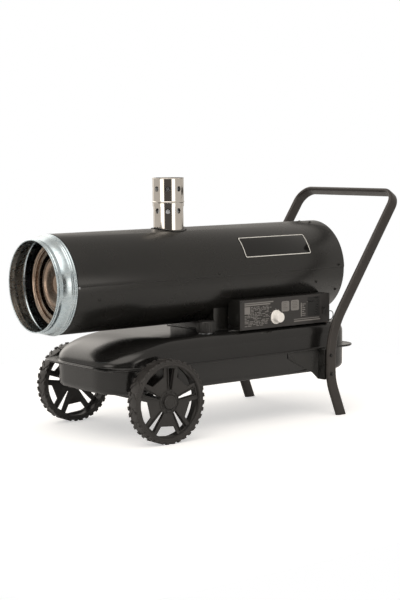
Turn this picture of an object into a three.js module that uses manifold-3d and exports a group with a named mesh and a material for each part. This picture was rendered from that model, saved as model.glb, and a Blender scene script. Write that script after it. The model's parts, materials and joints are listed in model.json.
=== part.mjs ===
// Indirect fired heater: a drum with a flue on a flat fuel tank, on two wheels and a bent tube handle.
// Millimetres, Z up. X runs from the hot air outlet to the handle, and the controls are on the -Y side.
// Places along the drum are stations: distances from the front lip of the outlet.
import * as THREE from "three";
import { mergeVertices } from "three/addons/utils/BufferGeometryUtils.js";
import Module from "manifold-3d";

const wasm = await Module();
wasm.setup();

// Driving dimensions of the whole machine
const seatGap = 0.3;
const overrun = 20;
const sheet = 1.5;
const drumRadius = 155.3;
const drumFront = 64;
const wheelRadius = 129;
const wheelWidth = 43.9;
const wheelGap = 22.5;
const axleStation = 305.3;
const tankBottom = 144.5;
const lowerDepth = 80;
const upperDepth = 80;
const tankHalfWidth = 197;
const lipWidth = 15;
const drumClear = 19.5;
const boxStart = 650;
const boxLength = 383;

const tankSeam = tankBottom + lowerDepth;
const tankTop = tankSeam + upperDepth;
const drumAxisHeight = tankTop + drumClear + drumRadius;
const lipHalfWidth = tankHalfWidth + lipWidth;
const wheelCentreSide = lipHalfWidth + wheelGap + wheelWidth / 2;

// Handle: one flat oval tube bent into a U
const tubeThickness = 15;
const tubeDepth = 39;
const tubeWall = 1.5;
const legGap = 18.2;
const legSide = lipHalfWidth + legGap + tubeThickness / 2;
const legStation = 992.5;
const footKick = 44.4;
const footStation = legStation + footKick;
const footTilt = THREE.MathUtils.degToRad(20.6);
const kneeHeight = 279.2;
const gripBack = 304.8;
const gripStation = legStation + gripBack;
const gripHeight = 729;
const footBend = 190;
const kneeBend = 274;
const gripBend = 52;

const gripLean = Math.atan2(gripStation - legStation, gripHeight - kneeHeight);
const gripReach = ((tubeDepth - tubeThickness) / 2) * Math.cos(gripLean) + tubeThickness / 2;
const overallLength = gripStation + gripReach;
const at = (station) => station - overallLength / 2;
const boxX0 = at(boxStart);
const boxX1 = boxX0 + boxLength;

// Stations of the heat exchanger, chamber, burner, motor and fan inside the drum
const exchangerInset = 18;
const exchangerLength = 608;
const chamberInset = 15;
const chamberOverhang = 16;
const burnerInside = 42;
const burnerLength = 128;
const motorGap = 93;
const motorLength = 120;
const fanGap = 31;
const fanHubLength = 40;
const rearRoom = 54;
const exchangerFront = drumFront + exchangerInset;
const exchangerRear = exchangerFront + exchangerLength;
const chamberFront = exchangerFront + chamberInset;
const chamberRear = exchangerRear + chamberOverhang;
const burnerFront = chamberRear - burnerInside;
const burnerRear = burnerFront + burnerLength;
const motorFront = burnerRear + motorGap;
const motorRear = motorFront + motorLength;
const fanStation = motorRear + fanGap;
const drumRear = fanStation + fanHubLength + rearRoom;

// The pump on the motor's front spigot sets where the fuel hoses meet the tank
const spigotLength = 14.7;
const pumpLength = 58;
const portSetback = 93;
const portPitch = 36;
const pumpRear = motorFront - spigotLength - seatGap;
const pumpFront = pumpRear - pumpLength;
const pumpOutX = at(pumpFront) + pumpLength / 2;
const fuelPortX = pumpOutX - portSetback;
const returnPortX = fuelPortX - portPitch;

// Shape helpers
const weldTolerance = 1e-4;
const fullTurn = 2 * Math.PI;

const welded = (geometry) => {
  const bare = geometry.clone();
  bare.deleteAttribute("normal");
  bare.deleteAttribute("uv");
  const merged = mergeVertices(bare, weldTolerance);
  const kept = [];
  for (let i = 0; i < merged.index.count; i += 3) {
    const [a, b, c] = [0, 1, 2].map((corner) => merged.index.getX(i + corner));
    if (a !== b && b !== c && c !== a) kept.push(a, b, c);
  }
  merged.setIndex(kept);
  return merged;
};

const toSolid = (geometry) => {
  const closed = welded(geometry);
  const vertProperties = new Float32Array(closed.attributes.position.array);
  const triVerts = new Uint32Array(closed.index.array);
  return new wasm.Manifold(new wasm.Mesh({ numProp: 3, vertProperties, triVerts }));
};

const toGeometry = (solid) => {
  const mesh = solid.getMesh();
  const geometry = new THREE.BufferGeometry();
  geometry.setAttribute("position", new THREE.BufferAttribute(mesh.vertProperties, 3));
  geometry.setIndex(new THREE.BufferAttribute(mesh.triVerts, 1));
  return geometry;
};

const join = (...pieces) => toGeometry(pieces.map(toSolid).reduce((whole, piece) => whole.add(piece)));

const cut = (base, ...tools) =>
  toGeometry(tools.map(toSolid).reduce((whole, tool) => whole.subtract(tool), toSolid(base)));

const common = (first, second) => toGeometry(toSolid(first).intersect(toSolid(second)));

const moved = (geometry, x, y, z) => geometry.clone().translate(x, y, z);

const mirroredSide = (geometry) => {
  const copy = welded(geometry);
  copy.scale(1, -1, 1);
  const flipped = [];
  for (let i = 0; i < copy.index.count; i += 3) {
    flipped.push(copy.index.getX(i), copy.index.getX(i + 2), copy.index.getX(i + 1));
  }
  copy.setIndex(flipped);
  return copy;
};

const polygon = (points) => new THREE.Shape(points.map(([across, up]) => new THREE.Vector2(across, up)));

const rectangle = (left, right, low, high) =>
  polygon([
    [left, low],
    [right, low],
    [right, high],
    [left, high],
  ]);

const ringPoints = (radius, from, to, steps) =>
  Array.from({ length: steps + 1 }, (_, i) => {
    const angle = from + ((to - from) * i) / steps;
    return [radius * Math.cos(angle), radius * Math.sin(angle)];
  });

const hole = (points) => new THREE.Path(points.map(([across, up]) => new THREE.Vector2(across, up)));

const disc = (radius, steps = 16) => polygon(ringPoints(radius, 0, fullTurn, steps).slice(0, -1));

const prism = (shape, from, to, across, up, along) => {
  const geometry = new THREE.ExtrudeGeometry(shape, { depth: to - from, bevelEnabled: false });
  geometry.applyMatrix4(new THREE.Matrix4().makeBasis(across, up, along));
  return geometry.translate(along.x * from, along.y * from, along.z * from);
};

const axisX = new THREE.Vector3(1, 0, 0);
const axisY = new THREE.Vector3(0, 1, 0);
const axisZ = new THREE.Vector3(0, 0, 1);
const prismX = (shape, from, to) => prism(shape, from, to, axisY, axisZ, axisX);
const prismY = (shape, from, to) => prism(shape, -to, -from, axisX, axisZ, axisY.clone().negate());
const prismZ = (shape, from, to) => prism(shape, from, to, axisX, axisY, axisZ);

const block = (x0, x1, y0, y1, z0, z1) => prismZ(rectangle(x0, x1, y0, y1), z0, z1);

// A profile of [radius, height] points is turned round the axis, closed on itself or on the axis.
const turned = (profile, axis, segments = 16) => {
  const touchesAxis = profile[0][0] === 0;
  const loop = touchesAxis ? profile : [...profile, profile[0]];
  const area = loop.reduce((sum, [r, h], i) => {
    const [rNext, hNext] = loop[(i + 1) % loop.length];
    return sum + r * hNext - rNext * h;
  }, 0);
  const points = (area < 0 ? [...loop].reverse() : loop).map(([r, h]) => new THREE.Vector2(r, h));
  const geometry = new THREE.LatheGeometry(points, segments);
  if (axis === "x") geometry.rotateZ(-Math.PI / 2);
  if (axis === "z") geometry.rotateX(Math.PI / 2);
  return geometry;
};

const rod = (radius, from, to, axis, segments = 16) =>
  turned(
    [
      [0, from],
      [radius, from],
      [radius, to],
      [0, to],
    ],
    axis,
    segments,
  );

const pipe = (outer, inner, from, to, axis, segments = 16) =>
  turned(
    [
      [inner, from],
      [outer, from],
      [outer, to],
      [inner, to],
    ],
    axis,
    segments,
  );

// A path through corner points, each rounded to its bend radius, as a curve that stops at every node.
class BentPath extends THREE.Curve {
  constructor(corners, bendStep) {
    super();
    this.nodes = [corners[0].point];
    corners.slice(1, -1).forEach(({ point, bend }, i) => {
      const back = corners[i].point.clone().sub(point).normalize();
      const ahead = corners[i + 2].point.clone().sub(point).normalize();
      const turn = Math.PI - back.angleTo(ahead);
      const reach = bend * Math.tan(turn / 2);
      const start = point.clone().addScaledVector(back, reach);
      const inward = back.clone().add(ahead).normalize();
      const centre = point.clone().addScaledVector(inward, bend / Math.cos(turn / 2));
      const arm = start.clone().sub(centre);
      const hinge = new THREE.Vector3().crossVectors(ahead, back).normalize().negate();
      const steps = Math.max(2, Math.round(turn / bendStep));
      for (let step = 0; step <= steps; step += 1) {
        const swung = arm.clone().applyAxisAngle(hinge, -(turn * step) / steps);
        this.nodes.push(centre.clone().add(swung));
      }
    });
    this.nodes.push(corners.at(-1).point);
    this.steps = this.nodes.length - 1;
  }

  getUtoTmapping(u) {
    return u;
  }

  getPoint(t, target = new THREE.Vector3()) {
    const place = t * this.steps;
    const index = Math.min(Math.floor(place), this.steps - 1);
    return target.lerpVectors(this.nodes[index], this.nodes[index + 1], place - index);
  }

  getTangent(t, target = new THREE.Vector3()) {
    const index = Math.round(t * this.steps);
    const before = this.nodes[Math.max(index - 1, 0)];
    const here = this.nodes[index];
    const after = this.nodes[Math.min(index + 1, this.steps)];
    const arriving = here.clone().sub(before).normalize();
    const leaving = after.clone().sub(here).normalize();
    return target.addVectors(arriving, leaving).normalize();
  }
}

const bentTube = (shape, corners, bendStep = THREE.MathUtils.degToRad(14)) => {
  const path = new BentPath(corners, bendStep);
  return new THREE.ExtrudeGeometry(shape, { extrudePath: path, steps: path.steps, bevelEnabled: false });
};

// A closed skin over a stack of rings that all have the same number of points; a single point closes an end.
const skin = (rings) => {
  const positions = [];
  const indices = [];
  const count = Math.max(...rings.map((ring) => ring.length));
  rings.forEach((ring) => {
    for (let i = 0; i < count; i += 1) positions.push(...ring[i % ring.length].toArray());
  });
  for (let level = 0; level < rings.length - 1; level += 1) {
    for (let i = 0; i < count; i += 1) {
      const next = (i + 1) % count;
      const [low, high] = [level * count, (level + 1) * count];
      if (rings[level].length > 1) indices.push(low + i, low + next, high + next);
      if (rings[level + 1].length > 1) indices.push(low + i, high + next, high + i);
    }
  }
  const geometry = new THREE.BufferGeometry();
  geometry.setAttribute("position", new THREE.Float32BufferAttribute(positions, 3));
  geometry.setIndex(indices);
  return geometry;
};

const heater = new THREE.Group();
heater.name = "indirect_fired_heater";

const add = (parent, name, geometry, color, roughness, metalness) => {
  const mesh = new THREE.Mesh(
    welded(geometry),
    new THREE.MeshStandardMaterial({ color, roughness, metalness }),
  );
  mesh.name = name;
  parent.add(mesh);
  return mesh;
};

const finishes = {
  satinBlack: [0x262625, 0.42, 0.3],
  glossBlack: [0x1b1b1b, 0.25, 0.3],
  galvanised: [0xb5bdb8, 0.35, 0.9],
  stainless: [0xcfcdc8, 0.12, 1.0],
  heatTinted: [0x8a6a4c, 0.35, 0.9],
  tube: [0x4a4644, 0.45, 0.3],
  tyre: [0x3b3938, 0.85, 0.0],
  darkPlastic: [0x3a3a3a, 0.6, 0.0],
  cream: [0xf0f0e4, 0.4, 0.0],
  fascia: [0x4d4b49, 0.5, 0.1],
  steel: [0x8d8f92, 0.35, 0.9],
  brass: [0xb08d4a, 0.3, 0.9],
  ceramic: [0xe8e4da, 0.5, 0.0],
  board: [0x2f5a3a, 0.5, 0.0],
  copper: [0xb5713f, 0.3, 0.9],
  rubber: [0x1e1e1e, 0.8, 0.0],
};

// Drum casing: two rolled half shells, the upper one lapped over the lower one along both sides
const drumSteps = 36;
const shellLap = THREE.MathUtils.degToRad(6);
const seamRise = THREE.MathUtils.degToRad(1.4);
const upperInner = drumRadius - sheet;
const lowerOuter = upperInner - seatGap;
const lowerInner = lowerOuter - sheet;

const arcBand = (outer, inner, from, to, steps = drumSteps) =>
  polygon([...ringPoints(outer, from, to, steps), ...ringPoints(inner, from, to, steps).reverse()]);

const drum = new THREE.Group();
drum.position.set(0, 0, drumAxisHeight);
heater.add(drum);

const flueStation = 510;
const flueRadius = 48.2;
const flueWall = 1.4;
const flueGapRound = 1.8;
const flueX = at(flueStation);
const roundFlue = (geometry) => moved(geometry, flueX, 0, 0);
const hoseRadius = 4.5;
const hoseClear = 2.5;

const upperShell = cut(
  prismX(arcBand(drumRadius, upperInner, seamRise, Math.PI - seamRise), at(drumFront), at(drumRear)),
  roundFlue(rod(flueRadius + flueGapRound, 0, drumRadius + overrun, "z")),
);
add(drum, "drum_upper_shell", upperShell, ...finishes.satinBlack);

const hosePass = (x) => moved(rod(hoseRadius + hoseClear, -drumRadius - overrun, 0, "z", 10), x, 0, 0);
const lowerShell = cut(
  prismX(
    arcBand(lowerOuter, lowerInner, -Math.PI - shellLap, shellLap),
    at(drumFront),
    at(drumRear),
  ),
  hosePass(fuelPortX),
  hosePass(returnPortX),
);
add(drum, "drum_lower_shell", lowerShell, ...finishes.satinBlack);

// Outlet collar: galvanised spigot with a hemmed lip, a bead, a flared band and a rolled back edge
const edgeInset = 0.3;
const bandInset = 2;
const lipInset = 12.2;
const neckInset = 1.6;
const beadProud = 0.9;
const backEdgeRadius = drumRadius - edgeInset;
const bandRadius = backEdgeRadius - bandInset;
const lipRadius = bandRadius - lipInset;
const neckRadius = lipRadius - neckInset;
const beadRadius = lipRadius + beadProud;
const hemDepth = 4;
const beadPitch = 4.4;
const flareStart = 17;
const bandStart = 36;
const bandTaper = 4.5;
const backEdgeGap = 1.2;
const backEdgeWidth = 9.8;
const backEdgeEnd = drumFront - backEdgeGap;
const backEdgeStart = backEdgeEnd - backEdgeWidth;
const sleeveRadius = lowerInner - seatGap;
const sleeveDepth = 22;
const beadFront = hemDepth + beadPitch;
const collarOuter = [
  [neckRadius - sheet, 0],
  [lipRadius - sheet, 0],
  [lipRadius, sheet],
  [lipRadius, hemDepth],
  [neckRadius, hemDepth + sheet],
  [beadRadius, beadFront],
  [lipRadius, flareStart],
  [bandRadius - bandTaper, bandStart],
  [bandRadius, backEdgeStart],
  [backEdgeRadius, backEdgeStart + sheet],
  [backEdgeRadius, backEdgeEnd - sheet],
  [sleeveRadius, backEdgeEnd],
  [sleeveRadius, backEdgeEnd + sleeveDepth],
];
const collarInner = [
  [sleeveRadius - sheet, backEdgeEnd + sleeveDepth],
  [sleeveRadius - sheet, backEdgeStart],
  [bandRadius - bandTaper - 2 * sheet, bandStart + sheet],
  [neckRadius - sheet, flareStart + sheet],
];
const collar = turned([...collarOuter, ...collarInner], "x", 30);
add(drum, "outlet_collar", moved(collar, at(0), 0, 0), ...finishes.galvanised);

// Heat exchanger: a hollow annular drum round the combustion chamber, with welded feet and a flue neck
const exchangerClear = 27;
const exchangerDepth = 23;
const exchangerOuter = lowerInner - exchangerClear;
const exchangerInner = exchangerOuter - exchangerDepth;
const exchangerSlope = 4;
const exchangerWall = 1.5;
const ductInset = 78;
const ductStation = exchangerFront + ductInset;
const ductRadius = 22;
const neckWall = 1.4;
const neckOuter = flueRadius - flueWall - seatGap;
const stubDepth = 15.3;
const stubBottom = drumRadius - stubDepth;
const neckRise = 13;
const neckTop = stubBottom + neckRise;
const footThickness = 3;
const footLength = 24;
const footInset = 40;
const footAngles = [-90, -25, -155].map(THREE.MathUtils.degToRad);
const heatSegments = 24;
const flueSegments = 16;

const annulus = (outer, inner, from, to, slope) => [
  [inner, from + slope],
  [outer, from],
  [outer, to],
  [inner, to],
];
const exchangerFeet = [exchangerFront + footInset, exchangerRear - footInset].flatMap((station) =>
  footAngles.map((angle) =>
    block(
      exchangerOuter - exchangerWall,
      lowerInner - seatGap,
      -footThickness / 2,
      footThickness / 2,
      -footLength / 2,
      footLength / 2,
    )
      .rotateY(Math.PI / 2)
      .rotateX(angle + Math.PI / 2)
      .rotateX(Math.PI)
      .translate(at(station), 0, 0),
  ),
);
const exchangerBody = turned(
  annulus(exchangerOuter, exchangerInner, at(exchangerFront), at(exchangerRear), exchangerSlope),
  "x",
  heatSegments,
);
const exchangerHollow = turned(
  annulus(
    exchangerOuter - exchangerWall,
    exchangerInner + exchangerWall,
    at(exchangerFront) + 2 * exchangerWall,
    at(exchangerRear) - exchangerWall,
    exchangerSlope,
  ),
  "x",
  heatSegments,
);
const middleRadius = (exchangerOuter + exchangerInner) / 2;
const exchanger = cut(
  join(
    cut(
      join(exchangerBody, roundFlue(rod(neckOuter, middleRadius, neckTop, "z", flueSegments))),
      exchangerHollow,
      roundFlue(rod(neckOuter - neckWall, middleRadius, neckTop + overrun, "z", flueSegments)),
    ),
    ...exchangerFeet,
  ),
  moved(rod(ductRadius + seatGap, -middleRadius, 0, "z", 16), at(ductStation), 0, 0),
);
add(drum, "heat_exchanger", exchanger, ...finishes.heatTinted);

// Combustion chamber: closed dished front, open at the burner end, with one duct into the exchanger
const chamberClear = 19;
const chamberOuter = exchangerInner - chamberClear;
const chamberDish = 14;
const chamberKnuckle = 9;
const chamberWall = 2;
const burnerOuter = 51.7;
const chamberWallPoints = (radius, front, rear) => [
  [0, front],
  [radius - 2 * chamberKnuckle, front + chamberKnuckle / 6],
  [radius - chamberKnuckle / 2, front + chamberKnuckle / 2],
  [radius, front + chamberDish],
  [radius, rear],
];
const chamberProfile = [
  ...chamberWallPoints(chamberOuter, at(chamberFront), at(chamberRear)),
  [burnerOuter + seatGap, at(chamberRear)],
  [burnerOuter + seatGap, at(chamberRear) - chamberWall],
  ...chamberWallPoints(
    chamberOuter - chamberWall,
    at(chamberFront) + chamberWall,
    at(chamberRear) - chamberWall,
  ).reverse(),
];
const duct = (radius, low, high) => moved(rod(radius, low, high, "z", 16), at(ductStation), 0, 0);
const ductLow = -exchangerInner - exchangerWall;
const chamber = cut(
  join(turned(chamberProfile, "x", heatSegments), duct(ductRadius, ductLow, chamberWall - chamberOuter)),
  duct(ductRadius - chamberWall, ductLow - overrun, chamberWall - chamberOuter + overrun),
);
add(drum, "combustion_chamber", chamber, ...finishes.heatTinted);

// Flue: lower stub through the casing, upper sleeve, perforated inner sleeve and a saddle on the casing
const stubRise = 80.7;
const flueJointHeight = drumRadius + stubRise;
const jointOverlap = 12;
const sleeveRise = 78.9;
const flueTop = flueJointHeight + sleeveRise;
const flueHoleRadius = 8.5;
const flueHoles = 8;
const flueHoleTurn = THREE.MathUtils.degToRad(-83);
const lowerRowDrop = 25.8;
const upperRowRise = 43.7;
const lowerRow = flueJointHeight - lowerRowDrop;
const upperRow = flueJointHeight + upperRowRise;
const sleeveOuter = flueRadius + flueWall + seatGap;
const sleeveBead = 1.6;
const beadHalf = 2.4;
const innerGap = 3.8;
const innerSleeveRadius = flueRadius - flueWall - innerGap;
const innerSleeveWall = 1;
const innerSleeveDrop = 11.9;
const innerSleeveTop = flueTop - innerSleeveDrop;
const innerFlare = flueRadius - flueWall - seatGap;
const innerFlareHeight = 3.5;

const holeRow = (height, turn) =>
  Array.from({ length: flueHoles }, (_, i) =>
    rod(flueHoleRadius, 0, flueRadius + overrun, "x", 6)
      .rotateZ(turn + (fullTurn * i) / flueHoles)
      .translate(0, 0, height),
  );
const stub = pipe(flueRadius, flueRadius - flueWall, stubBottom, flueJointHeight, "z", flueSegments);
add(drum, "flue_stub", roundFlue(cut(stub, ...holeRow(lowerRow, flueHoleTurn))), ...finishes.stainless);

const sleeveLow = flueJointHeight - jointOverlap;
const sleeveBeadHeight = flueJointHeight + beadHalf + sheet;
const sleeveProfile = [
  [sleeveOuter, sleeveLow],
  [sleeveOuter, sleeveBeadHeight - beadHalf],
  [sleeveOuter + sleeveBead, sleeveBeadHeight],
  [sleeveOuter, sleeveBeadHeight + beadHalf],
  [sleeveOuter, flueTop],
  [sleeveOuter - flueWall, flueTop],
  [sleeveOuter - flueWall, sleeveLow],
];
const flueSleeve = cut(turned(sleeveProfile, "z", flueSegments), ...holeRow(upperRow, flueHoleTurn));
add(drum, "flue_sleeve", roundFlue(flueSleeve), ...finishes.stainless);

const innerSleeveProfile = [
  [innerSleeveRadius - innerSleeveWall, neckTop + seatGap],
  [innerFlare, neckTop + seatGap],
  [innerFlare, neckTop + innerFlareHeight],
  [innerSleeveRadius, neckTop + 2 * innerFlareHeight],
  [innerSleeveRadius, innerSleeveTop],
  [innerSleeveRadius - innerSleeveWall, innerSleeveTop],
];
const innerSleeve = turned(innerSleeveProfile, "z", flueSegments);
add(drum, "flue_inner_sleeve", roundFlue(innerSleeve), ...finishes.steel);

const saddleWidth = 8;
const saddleThickness = 2.2;
const saddleInner = sleeveOuter;
const saddle = common(
  roundFlue(pipe(saddleInner + saddleWidth, saddleInner, 0, drumRadius + overrun, "z", flueSegments)),
  prismX(
    arcBand(
      drumRadius + seatGap + saddleThickness,
      drumRadius + seatGap,
      Math.PI / 4,
      (3 * Math.PI) / 4,
      drumSteps / 2,
    ),
    flueX - saddleInner - saddleWidth - overrun,
    flueX + saddleInner + saddleWidth + overrun,
  ),
);
add(drum, "flue_saddle", saddle, ...finishes.satinBlack);

// Badge plate: a bare curved plate on the near side of the upper shell
const badgeStart = 709;
const badgeLength = 280;
const badgeThickness = 1;
const badgeLow = THREE.MathUtils.degToRad(180 - 21);
const badgeHigh = THREE.MathUtils.degToRad(180 - 49);
const badge = prismX(
  arcBand(drumRadius + seatGap + badgeThickness, drumRadius + seatGap, badgeHigh, badgeLow, 6),
  at(badgeStart),
  at(badgeStart) + badgeLength,
);
add(drum, "badge_plate", badge, ...finishes.glossBlack);

// Burner: blast tube with its diffuser, nozzle on a holder, twin electrodes and flame photocell
const burnerWall = 1.5;
const burnerBore = burnerOuter - burnerWall;
const holderRadius = 7;
const nozzleRadius = 11;
const nozzleInset = 8;
const nozzleStart = burnerFront + nozzleInset;
const nozzleLength = 16;
const diffuserInset = 17;
const diffuserStation = burnerFront + diffuserInset;
const airHoles = 6;
const airHoleRadius = 9;
const airHoleCircle = 32;
const photocellRadius = 6;
const photocellLength = 38;

const burnerTubeProfile = [
  [burnerBore, at(burnerFront)],
  [burnerOuter, at(burnerFront)],
  [burnerOuter, at(burnerRear)],
  [holderRadius + seatGap, at(burnerRear)],
  [holderRadius + seatGap, at(burnerRear) - burnerWall],
  [burnerBore, at(burnerRear) - burnerWall],
];
const roundBurner = (geometry, index) => {
  const angle = (fullTurn * index) / airHoles;
  return moved(geometry, 0, airHoleCircle * Math.cos(angle), airHoleCircle * Math.sin(angle));
};
const rearHole = (radius, index) =>
  roundBurner(rod(radius, at(burnerRear) - overrun, at(burnerRear) + overrun, "x", 8), index);
const burnerTube = cut(
  turned(burnerTubeProfile, "x", heatSegments),
  ...Array.from({ length: airHoles - 1 }, (_, i) => rearHole(airHoleRadius, i + 1)),
  rearHole(photocellRadius + seatGap, 0),
);
add(drum, "burner_tube", burnerTube, ...finishes.steel);

const photocellX = at(burnerRear) - photocellLength / 2;
const photocell = roundBurner(rod(photocellRadius, photocellX, photocellX + photocellLength, "x", 8), 0);
add(drum, "flame_photocell", photocell, ...finishes.rubber);

const diffuserProfile = [
  [nozzleRadius + seatGap, at(diffuserStation)],
  [burnerBore - seatGap, at(diffuserStation)],
  [burnerBore - seatGap, at(diffuserStation) + burnerWall],
  [nozzleRadius + seatGap, at(diffuserStation) + burnerWall],
];
const electrodeSide = 14;
const electrodeRadius = 2;
const electrodePass = (side) =>
  rod(electrodeRadius + seatGap, at(burnerFront), at(burnerRear), "x", 8).translate(0, side, electrodeSide);
const diffuser = cut(
  turned(diffuserProfile, "x", heatSegments),
  electrodePass(electrodeSide),
  electrodePass(-electrodeSide),
);
add(drum, "air_diffuser", diffuser, ...finishes.steel);

const holderBlock = 16;
const holderEnd = at(burnerRear) + holderBlock / 4;
const nozzle = join(
  rod(nozzleRadius, at(nozzleStart), at(nozzleStart) + nozzleLength, "x", 6),
  rod(holderRadius, at(nozzleStart) + nozzleLength / 2, holderEnd + holderBlock / 2, "x", 12),
  block(
    holderEnd,
    holderEnd + holderBlock,
    -holderBlock / 2,
    holderBlock / 2,
    -holderBlock / 2,
    holderBlock / 2,
  ),
);
add(drum, "fuel_nozzle", nozzle, ...finishes.brass);

const clampInset = 40;
const clampStation = burnerFront + clampInset;
const clampLength = 14;
const electrodeProud = 4;
const electrodeFront = nozzleStart - electrodeProud;
const clampLow = holderRadius + seatGap;
const clampHigh = electrodeSide + 2 * electrodeRadius;
const clampHalf = electrodeSide + 2 * electrodeRadius;
const electrodes = join(
  block(at(clampStation), at(clampStation) + clampLength, -clampHalf, clampHalf, clampLow, clampHigh),
  ...[electrodeSide, -electrodeSide].map((side) =>
    rod(electrodeRadius, at(electrodeFront), at(clampStation) + 2 * clampLength, "x", 8).translate(
      0,
      side,
      electrodeSide,
    ),
  ),
);
add(drum, "ignition_electrodes", electrodes, ...finishes.ceramic);

// Fan motor, its bracket, shaft, coupling, pump and fan
const shaftRadius = 6;
const motorRadius = 60;
const motorWall = 4;
const spigotOuter = 24;
const spigotInner = 16;
const statorInner = 31;
const statorInset = 16;
const rotorRadius = 30;
const rotorInset = 12;
const bracketInset = 45;
const bracketStation = motorFront + bracketInset;
const bracketLength = 30;
const bracketRing = 5;
const bracketHalf = 42;
const pumpRadius = 34;
const pumpBoreDepth = 30;
const couplingRadius = 12;
const couplingLength = 9;
const fanHubRadius = 24;
const fanClear = 10;
const fanRadius = lowerInner - fanClear;
const fanBlades = 6;
const bladeRoot = 34;
const bladeTip = 78;
const bladeThickness = 2;
const bladePitch = THREE.MathUtils.degToRad(32);

const motorProfile = [
  [spigotInner, at(motorFront) - spigotLength],
  [spigotOuter, at(motorFront) - spigotLength],
  [spigotOuter, at(motorFront)],
  [motorRadius, at(motorFront)],
  [motorRadius, at(motorRear)],
  [shaftRadius + seatGap, at(motorRear)],
  [shaftRadius + seatGap, at(motorRear) - motorWall],
  [motorRadius - motorWall, at(motorRear) - motorWall],
  [motorRadius - motorWall, at(motorFront) + motorWall],
  [shaftRadius + seatGap, at(motorFront) + motorWall],
  [shaftRadius + seatGap, at(motorFront)],
  [spigotInner, at(motorFront)],
];
add(drum, "motor_housing", turned(motorProfile, "x"), ...finishes.steel);

const stator = pipe(
  motorRadius - motorWall - seatGap,
  statorInner,
  at(motorFront) + statorInset,
  at(motorRear) - statorInset,
  "x",
);
add(drum, "motor_stator", stator, ...finishes.steel);

const bracket = cut(
  join(
    rod(motorRadius + seatGap + bracketRing, at(bracketStation), at(bracketStation) + bracketLength, "x"),
    common(
      rod(lowerInner - seatGap, at(bracketStation), at(bracketStation) + bracketLength, "x", 36),
      block(
        at(bracketStation),
        at(bracketStation) + bracketLength,
        -bracketHalf,
        bracketHalf,
        -drumRadius,
        0,
      ),
    ),
  ),
  rod(motorRadius + seatGap, at(bracketStation) - overrun, at(bracketStation) + bracketLength + overrun, "x"),
);
add(drum, "motor_bracket", bracket, ...finishes.steel);

const pump = cut(
  join(
    rod(pumpRadius, at(pumpFront), at(pumpRear), "x"),
    block(
      at(pumpFront) + pumpLength / 4,
      at(pumpRear) - pumpLength / 4,
      -pumpRadius / 2,
      pumpRadius / 2,
      -pumpRadius - holderRadius,
      pumpRadius + holderRadius,
    ),
  ),
  rod(shaftRadius + seatGap, at(pumpRear) - pumpBoreDepth, at(pumpRear) + overrun, "x", 12),
);
add(drum, "fuel_pump", pump, ...finishes.steel);

const rotor = new THREE.Group();
drum.add(rotor);
const shaftFront = pumpRear - pumpBoreDepth / 2;
const rotorShaft = join(
  rod(shaftRadius, at(shaftFront), at(fanStation) + fanHubLength + shaftRadius, "x"),
  rod(rotorRadius, at(motorFront) + rotorInset, at(motorRear) - rotorInset, "x"),
);
add(rotor, "rotor_shaft", rotorShaft, ...finishes.steel);

const couplingStart = motorFront - spigotLength / 2 - couplingLength / 2;
const coupling = pipe(
  couplingRadius,
  shaftRadius + seatGap,
  at(couplingStart),
  at(couplingStart) + couplingLength,
  "x",
  12,
);
add(rotor, "shaft_coupling", coupling, ...finishes.rubber);

const bladeShape = polygon([
  [-bladeRoot / 2, fanHubRadius - bladeThickness],
  [bladeRoot / 2, fanHubRadius - bladeThickness],
  [bladeTip / 2, fanRadius * 0.86],
  [bladeTip / 4, fanRadius * 0.97],
  [-bladeTip / 4, fanRadius * 0.97],
  [-bladeTip / 2, fanRadius * 0.86],
]);
const fanBlade = (index) =>
  prismX(bladeShape, -bladeThickness / 2, bladeThickness / 2)
    .rotateZ(bladePitch)
    .translate(at(fanStation) + fanHubLength / 2, 0, 0)
    .rotateX((fullTurn * index) / fanBlades);
const fan = cut(
  join(
    rod(fanHubRadius, at(fanStation), at(fanStation) + fanHubLength, "x", 18),
    ...Array.from({ length: fanBlades }, (_, i) => fanBlade(i)),
  ),
  rod(shaftRadius + seatGap, at(fanStation) - overrun, at(fanStation) + fanHubLength + overrun, "x"),
);
add(rotor, "fan", fan, ...finishes.steel);

// Fan guard: welded wire rings and spokes inside the rear edge of the drum
const guardWire = 3.4;
const guardRings = 3;
const guardSpokes = 3;
const guardOuter = lowerInner - seatGap;
const guardInner = 24;
const guardStation = drumRear - 2 * guardWire;
const guardSegments = 16;
const guardStep = (guardOuter - guardWire - guardInner) / (guardRings - 1);
const guardRing = (index) => {
  const inner = guardInner + guardStep * index;
  return pipe(
    inner + guardWire,
    inner,
    at(guardStation),
    at(guardStation) + guardWire,
    "x",
    guardSegments,
  );
};
const guardSpoke = (index) =>
  block(
    at(guardStation) + guardWire / 3,
    at(guardStation) + guardWire,
    -guardOuter + guardWire,
    guardOuter - guardWire,
    -guardWire / 2,
    guardWire / 2,
  ).rotateX((Math.PI * (index + 1 / 2)) / guardSpokes);
const guard = join(
  ...Array.from({ length: guardRings }, (_, i) => guardRing(i)),
  ...Array.from({ length: guardSpokes }, (_, i) => guardSpoke(i)),
);
add(drum, "fan_guard", guard, ...finishes.satinBlack);

// Pipe from the pump to the nozzle holder, arching over the gap between them
const pipeRadius = 2.5;
const pipeSteps = 8;
const pumpTop = pumpRadius + holderRadius + seatGap;
const holderTopX = holderEnd + holderBlock / 2;
const pipeArch = 26;
const pipeBend = 12;
const spot = (x, y, z, bend = 0) => ({ point: new THREE.Vector3(x, y, z), bend });
const nozzlePipe = bentTube(disc(pipeRadius, pipeSteps), [
  spot(pumpOutX, 0, pumpTop),
  spot(pumpOutX, 0, pumpTop + pipeArch, pipeBend),
  spot(holderTopX, 0, pumpTop + pipeArch, pipeBend),
  spot(holderTopX, 0, holderBlock / 2 + seatGap),
]);
add(drum, "nozzle_pipe", nozzlePipe, ...finishes.copper);

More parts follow.
